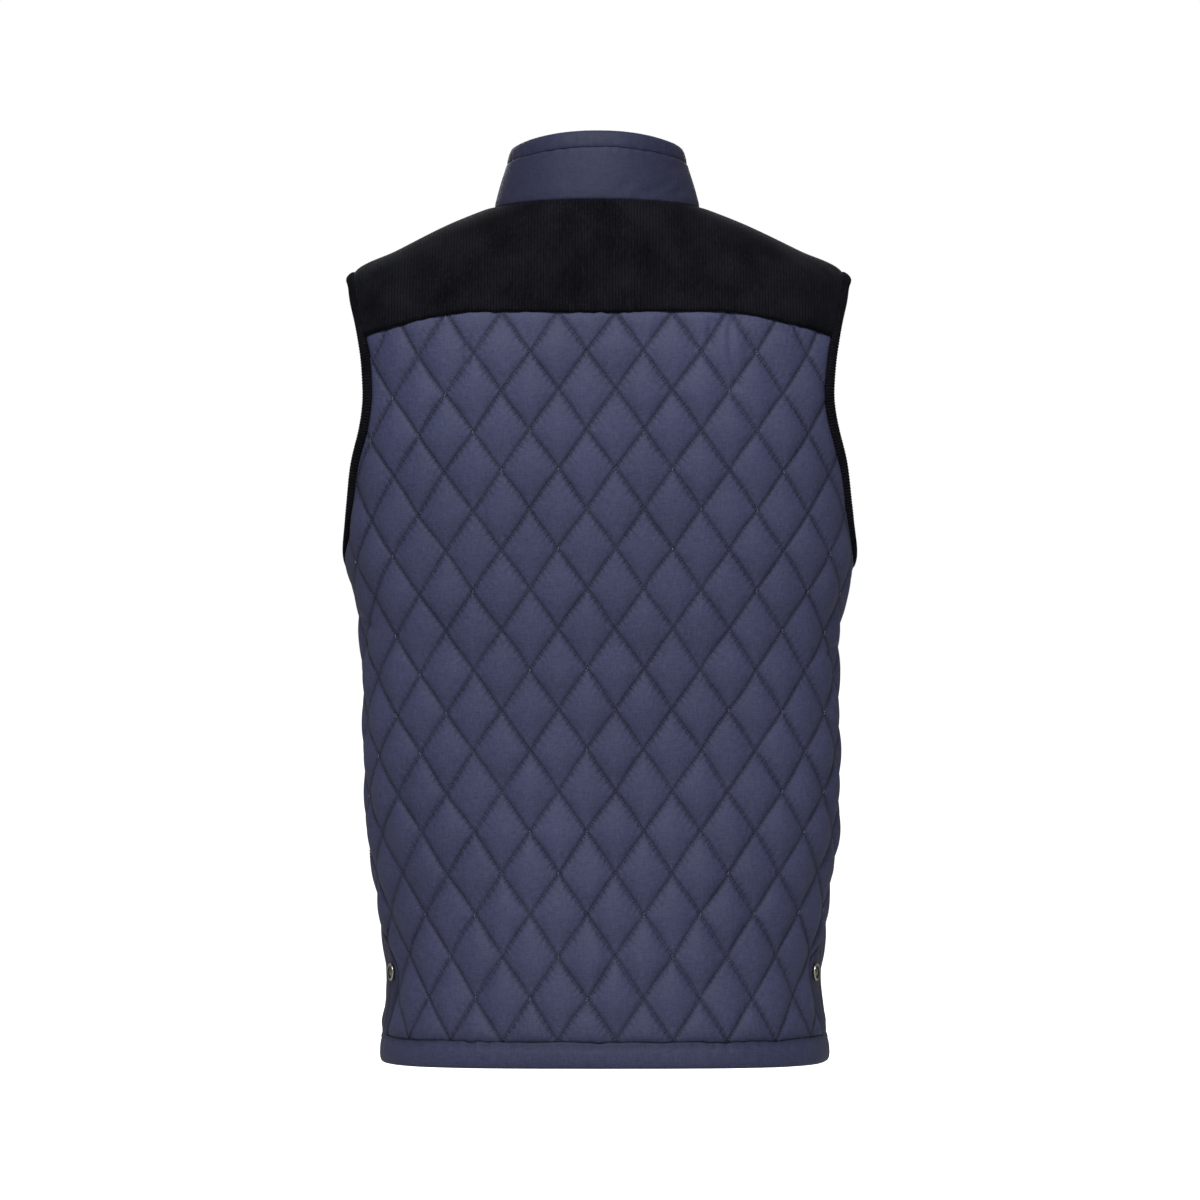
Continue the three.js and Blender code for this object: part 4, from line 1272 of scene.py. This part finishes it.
def weave_group():
    """Plain weave: threads over and under in two directions, slubs and a soft tone."""
    inputs = [("Cloth", "NodeSocketVector", None), ("Thread pitch", "NodeSocketFloat", 0.0005)]
    outputs = [("Height", "NodeSocketFloat"), ("Tone", "NodeSocketFloat")]
    group, given, result = new_group("Fine plain weave", inputs, outputs)
    split = node(group, "ShaderNodeSeparateXYZ")
    group.links.new(given.outputs["Cloth"], split.inputs[0])
    threads = []
    for axis in ("X", "Y"):
        turns = maths(group, "DIVIDE", split.outputs[axis], given.outputs["Thread pitch"])
        threads.append(maths(group, "SINE", maths(group, "MULTIPLY", turns, math.pi)))
    crossing = maths(group, "MULTIPLY", *threads)
    stretched = node(group, "ShaderNodeMapping")
    stretched.inputs["Scale"].default_value = (1.0, 0.12, 1.0)
    group.links.new(given.outputs["Cloth"], stretched.inputs["Vector"])
    upright = noise(group, stretched.outputs[0], 900, 2)
    flat_turn = node(group, "ShaderNodeMapping")
    flat_turn.inputs["Scale"].default_value = (0.12, 1.0, 1.0)
    group.links.new(given.outputs["Cloth"], flat_turn.inputs["Vector"])
    sideways = noise(group, flat_turn.outputs[0], 900, 2)
    slub = maths(group, "ADD", upright, sideways)
    height = maths(group, "ADD", maths(group, "MULTIPLY", crossing, 0.5), slub)
    tone = maths(group, "MULTIPLY", slub, 0.5)
    group.links.new(height, result.inputs["Height"])
    group.links.new(tone, result.inputs["Tone"])
    return group


def quilting_group():
    """Stitched lines of the quilting: the sunk groove and the puckers that run off it, with painted shade: a
    dark dotted core in each groove and a wider painted shade along each line.
    """
    inputs = [("Lattice", "NodeSocketVector", None), ("Place", "NodeSocketVector", None)]
    outputs = [("Groove shade", "NodeSocketFloat"), ("Valley shade", "NodeSocketFloat"), ("Height", "NodeSocketFloat")]
    group, given, result = new_group("Quilting lines", inputs, outputs)
    split = node(group, "ShaderNodeSeparateXYZ")
    group.links.new(given.outputs["Lattice"], split.inputs[0])
    wander = noise(group, given.outputs["Place"], 90, 2)
    wander_turns = maths(group, "MULTIPLY", noise(group, given.outputs["Place"], 45, 2), 14.0)
    groove_shades, valley_shades, heights = [], [], []
    for axis, other in (("X", "Y"), ("Y", "X")):
        part = maths(group, "FRACT", split.outputs[axis])
        near = maths(group, "SUBTRACT", 0.5, maths(group, "ABSOLUTE", maths(group, "SUBTRACT", part, 0.5)))
        away = maths(group, "MULTIPLY", near, LINE_SPACING)
        squared = maths(group, "POWER", maths(group, "DIVIDE", away, 1.7), 2.0)
        # narrow sets the groove's bump and its painted shade, a dark core along each stitched line, dotted by
        # the stitches' pull
        narrow = maths(group, "EXPONENT", maths(group, "MULTIPLY", squared, -1.0))
        # wide: a broad painted shade a few millimetres either side of each stitched line, where the padding
        # dips; it also fades the puckers
        wide = maths(group, "EXPONENT", maths(group, "DIVIDE", away, -4.5))
        turns = maths(group, "MULTIPLY", split.outputs[other], 2 * math.pi * CROSSING_SPACING / 5.4)
        ripple = maths(group, "SINE", maths(group, "ADD", turns, maths(group, "MULTIPLY", wander, 9.0)))
        stitches_each = 2 * math.pi * CROSSING_SPACING / STITCH_PITCH
        stitch_turns = maths(group, "MULTIPLY", split.outputs[other], stitches_each)
        pull = maths(group, "SINE", maths(group, "ADD", stitch_turns, wander_turns))
        dotted = maths(group, "ADD", maths(group, "MULTIPLY", pull, 0.16), 0.8)
        groove_shades.append(maths(group, "MULTIPLY", narrow, dotted))
        valley_shades.append(wide)
        puckered = maths(group, "MULTIPLY", maths(group, "MULTIPLY", ripple, wide), 0.22)
        heights.append(maths(group, "SUBTRACT", puckered, maths(group, "MULTIPLY", narrow, dotted)))
    tightness = maths(group, "MULTIPLY", noise(group, given.outputs["Place"], 22, 2), 1.7)
    pulled = maths(group, "ADD", tightness, -0.05)
    groove = maths(group, "MULTIPLY", maths(group, "MAXIMUM", *groove_shades), pulled)
    group.links.new(groove, result.inputs["Groove shade"])
    group.links.new(maths(group, "MAXIMUM", *valley_shades), result.inputs["Valley shade"])
    group.links.new(maths(group, "ADD", *heights), result.inputs["Height"])
    return group


def wale_group():
    """Corduroy: rounded ribs and a broken, brushed pile, with the rib tops painted lighter and the hollows
    between the ribs painted darker, as light and shade.
    """
    inputs = [("Across", "NodeSocketFloat", None), ("Place", "NodeSocketVector", None)]
    inputs.append(("Pitch", "NodeSocketFloat", WALE * MM))
    outputs = [("Height", "NodeSocketFloat"), ("Nap and rib shade", "NodeSocketFloat")]
    group, given, result = new_group("Corduroy ribs", inputs, outputs)
    turns = maths(group, "DIVIDE", given.outputs["Across"], given.outputs["Pitch"])
    rib = maths(group, "ABSOLUTE", maths(group, "SINE", maths(group, "MULTIPLY", turns, math.pi)))
    round_rib = maths(group, "POWER", rib, 0.6)
    fuzz = noise(group, given.outputs["Place"], 900, 3)
    patches = noise(group, given.outputs["Place"], 30, 3)
    dashes = node(group, "ShaderNodeMapping")
    dashes.inputs["Scale"].default_value = (1.0, 1.0, 0.2)
    group.links.new(given.outputs["Place"], dashes.inputs["Vector"])
    streaks = noise(group, dashes.outputs[0], 420, 2)
    height = maths(group, "ADD", round_rib, maths(group, "MULTIPLY", fuzz, 0.5))
    # lit: painted light and shade, the rib tops lighter and the hollows between the ribs darker
    lit = maths(group, "ADD", maths(group, "MULTIPLY", round_rib, 0.5), 0.25)
    brushed = weighted(group, (patches, 1.5), (fuzz, 1.8), (streaks, 0.7))
    nap_and_rib_shade = maths(group, "MULTIPLY", lit, brushed)
    group.links.new(height, result.inputs["Height"])
    group.links.new(nap_and_rib_shade, result.inputs["Nap and rib shade"])
    return group


def mix_colour(tree, factor, first, second):
    made = node(tree, "ShaderNodeMix", data_type="RGBA")
    tree.links.new(factor, made.inputs["Factor"])
    made.inputs[6].default_value = (*first, 1)
    made.inputs[7].default_value = (*second, 1)
    return made.outputs[2]


def new_material(name):
    made = bpy.data.materials.new(name)
    made.use_nodes = True
    return made, made.node_tree, made.node_tree.nodes["Principled BSDF"]


def bump(tree, height, distance, strength, under=None):
    made = node(tree, "ShaderNodeBump")
    made.inputs["Distance"].default_value = distance
    made.inputs["Strength"].default_value = strength
    tree.links.new(height, made.inputs["Height"])
    if under is not None:
        tree.links.new(under, made.inputs["Normal"])
    return made.outputs[0]


def tinted(tree, factor, colour, tint):
    """The colour, multiplied by a tint where the factor is 1."""
    made = node(tree, "ShaderNodeMix", data_type="RGBA", blend_type="MULTIPLY")
    tree.links.new(factor, made.inputs["Factor"])
    tree.links.new(colour, made.inputs[6])
    made.inputs[7].default_value = (*tint, 1)
    return made.outputs[2]


def weighted(tree, *parts):
    """Sum of values, each with its weight, shifted so that it lies about a half."""
    total = None
    for value, weight in parts:
        term = maths(tree, "MULTIPLY", value, weight)
        total = term if total is None else maths(tree, "ADD", total, term)
    return maths(tree, "SUBTRACT", total, 0.5 * sum(weight for _, weight in parts) - 0.5)


def cloth_material(name, weave, dark, light, roughness, quilting=None, seam=None):
    """Plain woven cloth. quilting adds the stitched lines with painted shade along them and above the hem
    seam, and seam a pulled edge where the cloth starts, with painted shade along it.
    """
    made, tree, shader = new_material(name)
    place = node(tree, "ShaderNodeTexCoord").outputs["Object"]
    cloth = node(tree, "ShaderNodeUVMap", uv_map="cloth")
    threads = node(tree, "ShaderNodeGroup", node_tree=weave)
    tree.links.new(cloth.outputs[0], threads.inputs["Cloth"])
    blotch, fine, grain = noise(tree, place, 14, 3), noise(tree, place, 380, 2), noise(tree, place, 900, 2)
    mixed = weighted(tree, (blotch, 0.4), (threads.outputs["Tone"], 1.3), (fine, 0.5), (grain, 0.8))
    colour = mix_colour(tree, mixed, dark, light)
    rumple = bump(tree, noise(tree, place, 160, 3), 0.0012, 0.35)
    if quilting is not None:
        lattice = node(tree, "ShaderNodeUVMap", uv_map="quilting")
        lines = node(tree, "ShaderNodeGroup", node_tree=quilting)
        tree.links.new(lattice.outputs[0], lines.inputs["Lattice"])
        tree.links.new(place, lines.inputs["Place"])
        # Painted shade: the cloth darkened broadly either side of each stitched line, where the padding dips
        # into it
        valley_shade = maths(tree, "MULTIPLY", lines.outputs["Valley shade"], 0.5)
        colour = tinted(tree, valley_shade, colour, (0.6, 0.6, 0.64))
        # Painted shade: the quilted cloth darkened, unevenly, in a band about 4 mm above the hem seam, where
        # the hem band's fold shades it
        height = node(tree, "ShaderNodeSeparateXYZ")
        tree.links.new(cloth.outputs[0], height.inputs[0])
        over_hem = maths(tree, "DIVIDE", maths(tree, "SUBTRACT", height.outputs["Y"], HEM_SEAM * MM), 0.0042)
        hem_seam_shade = maths(tree, "EXPONENT", maths(tree, "MULTIPLY", maths(tree, "MAXIMUM", over_hem, 0.0), -1.0))
        uneven = maths(tree, "ADD", maths(tree, "MULTIPLY", noise(tree, place, 120, 2), 1.2), 0.2)
        colour = tinted(tree, maths(tree, "MULTIPLY", hem_seam_shade, uneven), colour, (0.42, 0.42, 0.46))
        # Painted shade: a dark core along each stitched groove, dotted and uneven with the stitches' pull
        groove = maths(tree, "MULTIPLY", lines.outputs["Groove shade"], 0.85)
        colour = tinted(tree, groove, colour, (0.4, 0.4, 0.44))
        rumple = bump(tree, lines.outputs["Height"], 0.0009, 0.9, rumple)
    if seam is not None:
        start = node(tree, "ShaderNodeSeparateXYZ")
        tree.links.new(cloth.outputs[0], start.inputs[0])
        # Painted shade: the hem band darkened within a few millimetres of where it starts under the seam
        part = maths(tree, "DIVIDE", start.outputs["Y"], seam)
        near = maths(tree, "EXPONENT", maths(tree, "MULTIPLY", maths(tree, "MULTIPLY", part, part), -1.0))
        colour = tinted(tree, near, colour, (0.3, 0.3, 0.34))
        pulls = node(tree, "ShaderNodeMapping")
        pulls.inputs["Scale"].default_value = (1.0, 0.25, 1.0)
        tree.links.new(cloth.outputs[0], pulls.inputs["Vector"])
        fade = maths(tree, "EXPONENT", maths(tree, "MULTIPLY", part, -0.7))
        pucker = maths(tree, "MULTIPLY", noise(tree, pulls.outputs[0], 260, 1), fade)
        rumple = bump(tree, pucker, 0.0016, 0.8, rumple)
    tree.links.new(colour, shader.inputs["Base Color"])
    rough = maths(tree, "ADD", maths(tree, "MULTIPLY", fine, 0.2), roughness - 0.1)
    tree.links.new(rough, shader.inputs["Roughness"])
    shader.inputs["Specular IOR Level"].default_value = 0.2
    tree.links.new(bump(tree, threads.outputs["Height"], 0.00016, 0.6, rumple), shader.inputs["Normal"])
    return made


def corduroy_material(name, ribs, axis):
    made, tree, shader = new_material(name)
    place = node(tree, "ShaderNodeTexCoord")
    group = node(tree, "ShaderNodeGroup", node_tree=ribs)
    split = node(tree, "ShaderNodeSeparateXYZ")
    if axis == "object":
        tree.links.new(place.outputs["Object"], split.inputs[0])
    else:
        cloth = node(tree, "ShaderNodeUVMap", uv_map="cloth")
        tree.links.new(cloth.outputs[0], split.inputs[0])
    tree.links.new(split.outputs["X"], group.inputs["Across"])
    tree.links.new(place.outputs["Object"], group.inputs["Place"])
    # Colour from the random brushed pile and the painted light and shade of the ribs
    colour = mix_colour(tree, group.outputs["Nap and rib shade"], (0.0006, 0.0006, 0.001), (0.0108, 0.0110, 0.0165))
    tree.links.new(colour, shader.inputs["Base Color"])
    shader.inputs["Roughness"].default_value = 0.95
    shader.inputs["Specular IOR Level"].default_value = 0.08
    shader.inputs["Sheen Weight"].default_value = 0.02
    shader.inputs["Sheen Roughness"].default_value = 0.35
    shader.inputs["Sheen Tint"].default_value = (0.55, 0.6, 0.8, 1)
    tree.links.new(bump(tree, group.outputs["Height"], 0.0006, 0.7), shader.inputs["Normal"])
    return made


def thread_material(name, colour):
    made, tree, shader = new_material(name)
    place = node(tree, "ShaderNodeTexCoord")
    twist = noise(tree, place.outputs["Object"], 2600, 2)
    darker = tuple(0.55 * part for part in colour)
    tree.links.new(mix_colour(tree, twist, darker, colour), shader.inputs["Base Color"])
    shader.inputs["Roughness"].default_value = 0.6
    tree.links.new(bump(tree, twist, 0.0001, 0.6), shader.inputs["Normal"])
    return made


def metal_material():
    made, tree, shader = new_material("Antique brass")
    place = node(tree, "ShaderNodeTexCoord")
    tarnish = noise(tree, place.outputs["Object"], 520, 4, 0.6)
    edge = node(tree, "ShaderNodeNewGeometry")
    worn = maths(tree, "MULTIPLY", maths(tree, "SUBTRACT", edge.outputs["Pointiness"], 0.51), 9)
    held = node(tree, "ShaderNodeClamp")
    tree.links.new(maths(tree, "ADD", worn, maths(tree, "MULTIPLY", tarnish, 0.5)), held.inputs[0])
    colour = mix_colour(tree, held.outputs[0], (0.035, 0.032, 0.021), (0.55, 0.52, 0.42))
    tree.links.new(colour, shader.inputs["Base Color"])
    shader.inputs["Metallic"].default_value = 1.0
    rough = maths(tree, "ADD", maths(tree, "MULTIPLY", tarnish, 0.25), 0.18)
    tree.links.new(rough, shader.inputs["Roughness"])
    tree.links.new(bump(tree, tarnish, 0.00015, 0.4), shader.inputs["Normal"])
    return made


weave = weave_group()
ribs = wale_group()
quilting = quilting_group()
QUILT_DARK, QUILT_LIGHT = (0.022, 0.025, 0.056), (0.060, 0.064, 0.132)
HEM_DARK, HEM_LIGHT = (0.020, 0.0225, 0.052), (0.050, 0.054, 0.113)
PLAIN_DARK, PLAIN_LIGHT = (0.0148, 0.0165, 0.038), (0.031, 0.0335, 0.0715)
QUILT_CLOTH = cloth_material("Quilted navy cloth", weave, QUILT_DARK, QUILT_LIGHT, 0.58, quilting)
HEM_CLOTH = cloth_material("Navy hem cloth", weave, HEM_DARK, HEM_LIGHT, 0.58, seam=0.0034)
PLAIN_CLOTH = cloth_material("Plain navy cloth", weave, PLAIN_DARK, PLAIN_LIGHT, 0.6)
YOKE_CLOTH = corduroy_material("Near-black corduroy", ribs, "object")
BINDING_CLOTH = corduroy_material("Near-black corduroy, wales across", ribs, "cloth")
NAVY_THREAD = thread_material("Navy sewing thread", (0.040, 0.043, 0.078))
PALE_THREAD = thread_material("Pale thread ends", (0.30, 0.31, 0.37))
BRASS = metal_material()


# Pieces


def place(piece, nodes, slot, flat=None, held="hung", rests_on=(), area=None, with_pieces=()):
    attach(piece, "root")
    if nodes:
        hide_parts(*nodes)
    if flat:
        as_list(rests_on)
        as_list(with_pieces)
    return piece


stitches = stitch_tree()
QUILT_STITCH = {"Pitch": 0.0027, "Stitch length": 0.0020, "Thread": 0.0006}
LIGHT_STITCH = {**QUILT_STITCH, "Sides": 4, "Rings": 2}
SEAM_STITCH = {"Pitch": 0.0030, "Stitch length": 0.0023, "Thread": 0.0006}
SPECK = {"Pitch": 0.0012, "Stitch length": 0.0011, "Thread": 0.0005}

back_thread = sewn_lines("quilting_thread_back", back_quilting(), stitches, NAVY_THREAD, QUILT_STITCH)
specks = sewn_lines("thread_ends_back", crossings(), stitches, PALE_THREAD, SPECK)
hem_thread = sewn_lines("hem_thread", hem_stitching(), stitches, NAVY_THREAD, SEAM_STITCH)
placket_thread = sewn_lines("placket_thread", placket_stitching(), stitches, NAVY_THREAD, SEAM_STITCH)
for piece in (back_thread, specks, hem_thread, placket_thread):
    place(piece, [], "plain_cloth")

place(
    back_panel(QUILT_CLOTH),
    ["back_panel"],
    "quilted_cloth",
    flat=(0.53, 0.585),
    rests_on=["yoke"],
    area=0.29,
    with_pieces=[back_thread, specks],
)
place(yoke(YOKE_CLOTH), ["yoke"], "corduroy", flat=(0.52, 0.17), rests_on=["shoulders"], area=0.06)
place(collar(PLAIN_CLOTH), ["collar"], "plain_cloth", flat=(0.43, 0.041), rests_on=["yoke"])
place(collar_roll(PLAIN_CLOTH), ["collar_roll"], "plain_cloth", flat=(0.41, 0.0148), rests_on=["collar"])
place(
    back_hem_band(HEM_CLOTH),
    ["hem_band_back"],
    "plain_cloth",
    flat=(0.47, 0.0236),
    rests_on=["back_panel"],
)
for hand, side in ((1, "left"), (-1, "right")):
    thread = sewn_lines(f"quilting_thread_{side}", front_quilting(hand), stitches, NAVY_THREAD, LIGHT_STITCH)
    place(thread, [], "plain_cloth")
    place(
        front_panel(hand, side, QUILT_CLOTH),
        [f"front_panel_{side}"],
        "quilted_cloth",
        flat=(0.26, 0.6),
        rests_on=["yoke"],
        area=0.13,
        with_pieces=[thread],
    )
    place(
        front_hem_band(hand, side, HEM_CLOTH),
        [f"hem_band_front_{side}"],
        "plain_cloth",
        flat=(0.235, 0.023),
        rests_on=[f"front_panel_{side}"],
    )
    place(
        armhole_binding(hand, side, BINDING_CLOTH),
        [f"armhole_binding_{side}"],
        "corduroy",
        flat=(0.61, 0.0142),
        rests_on=["yoke", "back_panel", f"front_panel_{side}"],
    )
    place(
        vent_strip(hand, side, PLAIN_CLOTH),
        [f"vent_strip_{side}"],
        "plain_cloth",
        flat=(0.043, 0.085),
        rests_on=["back_panel"],
    )
    side_length = hand * (BODY.to_side(SIDE_STUD_LEVEL) - SIDE_STUD_REACH)
    name = f"vent_stud_{side}"
    place(stud(name + "_cap", BODY, side_length, SIDE_STUD_LEVEL, VENT_SINK, BRASS), [name], "stud_metal")
place(
    front_placket(PLAIN_CLOTH),
    ["front_placket"],
    "plain_cloth",
    flat=(0.046, 0.69),
    rests_on=["front_underlap"],
    with_pieces=[placket_thread],
)
place(
    front_underlap(PLAIN_CLOTH),
    ["front_underlap"],
    "plain_cloth",
    flat=(0.042, 0.69),
    rests_on=["collar"],
)
level_grid = np.linspace(HEM_BOTTOM, NECK_LEVEL, 3000)
for number, height in enumerate(PLACKET_STUDS, 1):
    level = float(np.interp(height, front_height(level_grid), level_grid))
    name = f"placket_stud_{number}"
    place(stud(name + "_cap", BODY, BODY.to_front(level) - 1, level, 0, BRASS), [name], "stud_metal")
collar_stud = stud("placket_stud_6_cap", COLLAR, COLLAR.to_front(COLLAR_STUD) - 1, COLLAR_STUD, 0, BRASS)
place(collar_stud, ["placket_stud_6"], "stud_metal")


# Floor, light and camera


def stage_material():
    """Pale paper that shows white to the camera, so that only the vest's soft shadow is seen on it."""
    made, tree, shader = new_material("Pale studio paper")
    place_at = node(tree, "ShaderNodeTexCoord")
    grain = noise(tree, place_at.outputs["Object"], 6, 2)
    tree.links.new(mix_colour(tree, grain, (0.56, 0.56, 0.56), (0.6, 0.6, 0.6)), shader.inputs["Base Color"])
    shader.inputs["Roughness"].default_value = 0.9
    shader.inputs["Emission Color"].default_value = (1, 1, 1, 1)
    ray = node(tree, "ShaderNodeLightPath")
    glow = maths(tree, "MULTIPLY", ray.outputs["Is Camera Ray"], FLOOR_GLOW)
    tree.links.new(glow, shader.inputs["Emission Strength"])
    return made


FLOOR_LEVEL = -0.95
FLOOR_RINGS = (1.5, 5.0, 15.0, 40.0)
FLOOR_GLOW = 1.0
FLOOR_SIDES = 64


def studio_floor():
    turn = 2 * math.pi * np.arange(FLOOR_SIDES) / FLOOR_SIDES
    points = [(0, 0, FLOOR_LEVEL)]
    for radius in FLOOR_RINGS:
        points += [(radius * math.cos(a), radius * math.sin(a), FLOOR_LEVEL) for a in turn]
    faces = [[0, 1 + k, 1 + (k + 1) % FLOOR_SIDES] for k in range(FLOOR_SIDES)]
    for ring in range(len(FLOOR_RINGS) - 1):
        low, high = 1 + ring * FLOOR_SIDES, 1 + (ring + 1) * FLOOR_SIDES
        for k in range(FLOOR_SIDES):
            after = (k + 1) % FLOOR_SIDES
            faces.append([low + k, high + k, high + after, low + after])
    return add_object("studio_floor", np.array(points) / MM, faces, stage_material())


def area_light(name, place_at, target, size, power):
    light = bpy.data.lights.new(name, "AREA")
    light.shape = "RECTANGLE"
    light.size, light.size_y = size
    light.energy = power
    lamp = bpy.data.objects.new(name, light)
    bpy.context.scene.collection.objects.link(lamp)
    aim = np.array(target, float) - np.array(place_at, float)
    lamp.location = place_at
    lamp.rotation_euler = Vector(aim).to_track_quat("-Z", "Y").to_euler()
    return lamp


WORLD_LIGHT = 0.27


def studio():
    lamps = [
        area_light("key_light", (0.35, 2.3, 2.5), (0, 0, -0.12), (1.1, 0.8), 132),
        area_light("fill_light", (-0.9, 3.3, 0.1), (0, 0, -0.25), (1.2, 1.6), 14),
        area_light("front_light", (0.2, -3.2, 1.3), (0, 0, -0.3), (2.0, 2.0), 60),
    ]
    world = bpy.data.worlds.new("Soft white studio")
    world.use_nodes = True
    tree = world.node_tree
    ground = tree.nodes["Background"]
    ground.inputs["Color"].default_value = (1, 1, 1, 1)
    ray = node(tree, "ShaderNodeLightPath")
    seen = maths(tree, "MULTIPLY", ray.outputs["Is Camera Ray"], 1.0 - WORLD_LIGHT)
    tree.links.new(maths(tree, "ADD", seen, WORLD_LIGHT), ground.inputs["Strength"])
    bpy.context.scene.world = world
    bpy.context.scene.view_settings.view_transform = "Standard"
    studio_floor()


CAMERA_AWAY = 3.85
CAMERA_LEVEL = -0.294
LENS = 140.85


def camera():
    data = bpy.data.cameras.new("camera")
    data.sensor_width = 36
    data.lens = LENS
    eye = bpy.data.objects.new("camera", data)
    eye.location = (0, CAMERA_AWAY, CAMERA_LEVEL)
    eye.rotation_euler = (math.pi / 2, 0, math.pi)
    bpy.context.scene.collection.objects.link(eye)
    bpy.context.scene.camera = eye


studio()
camera()
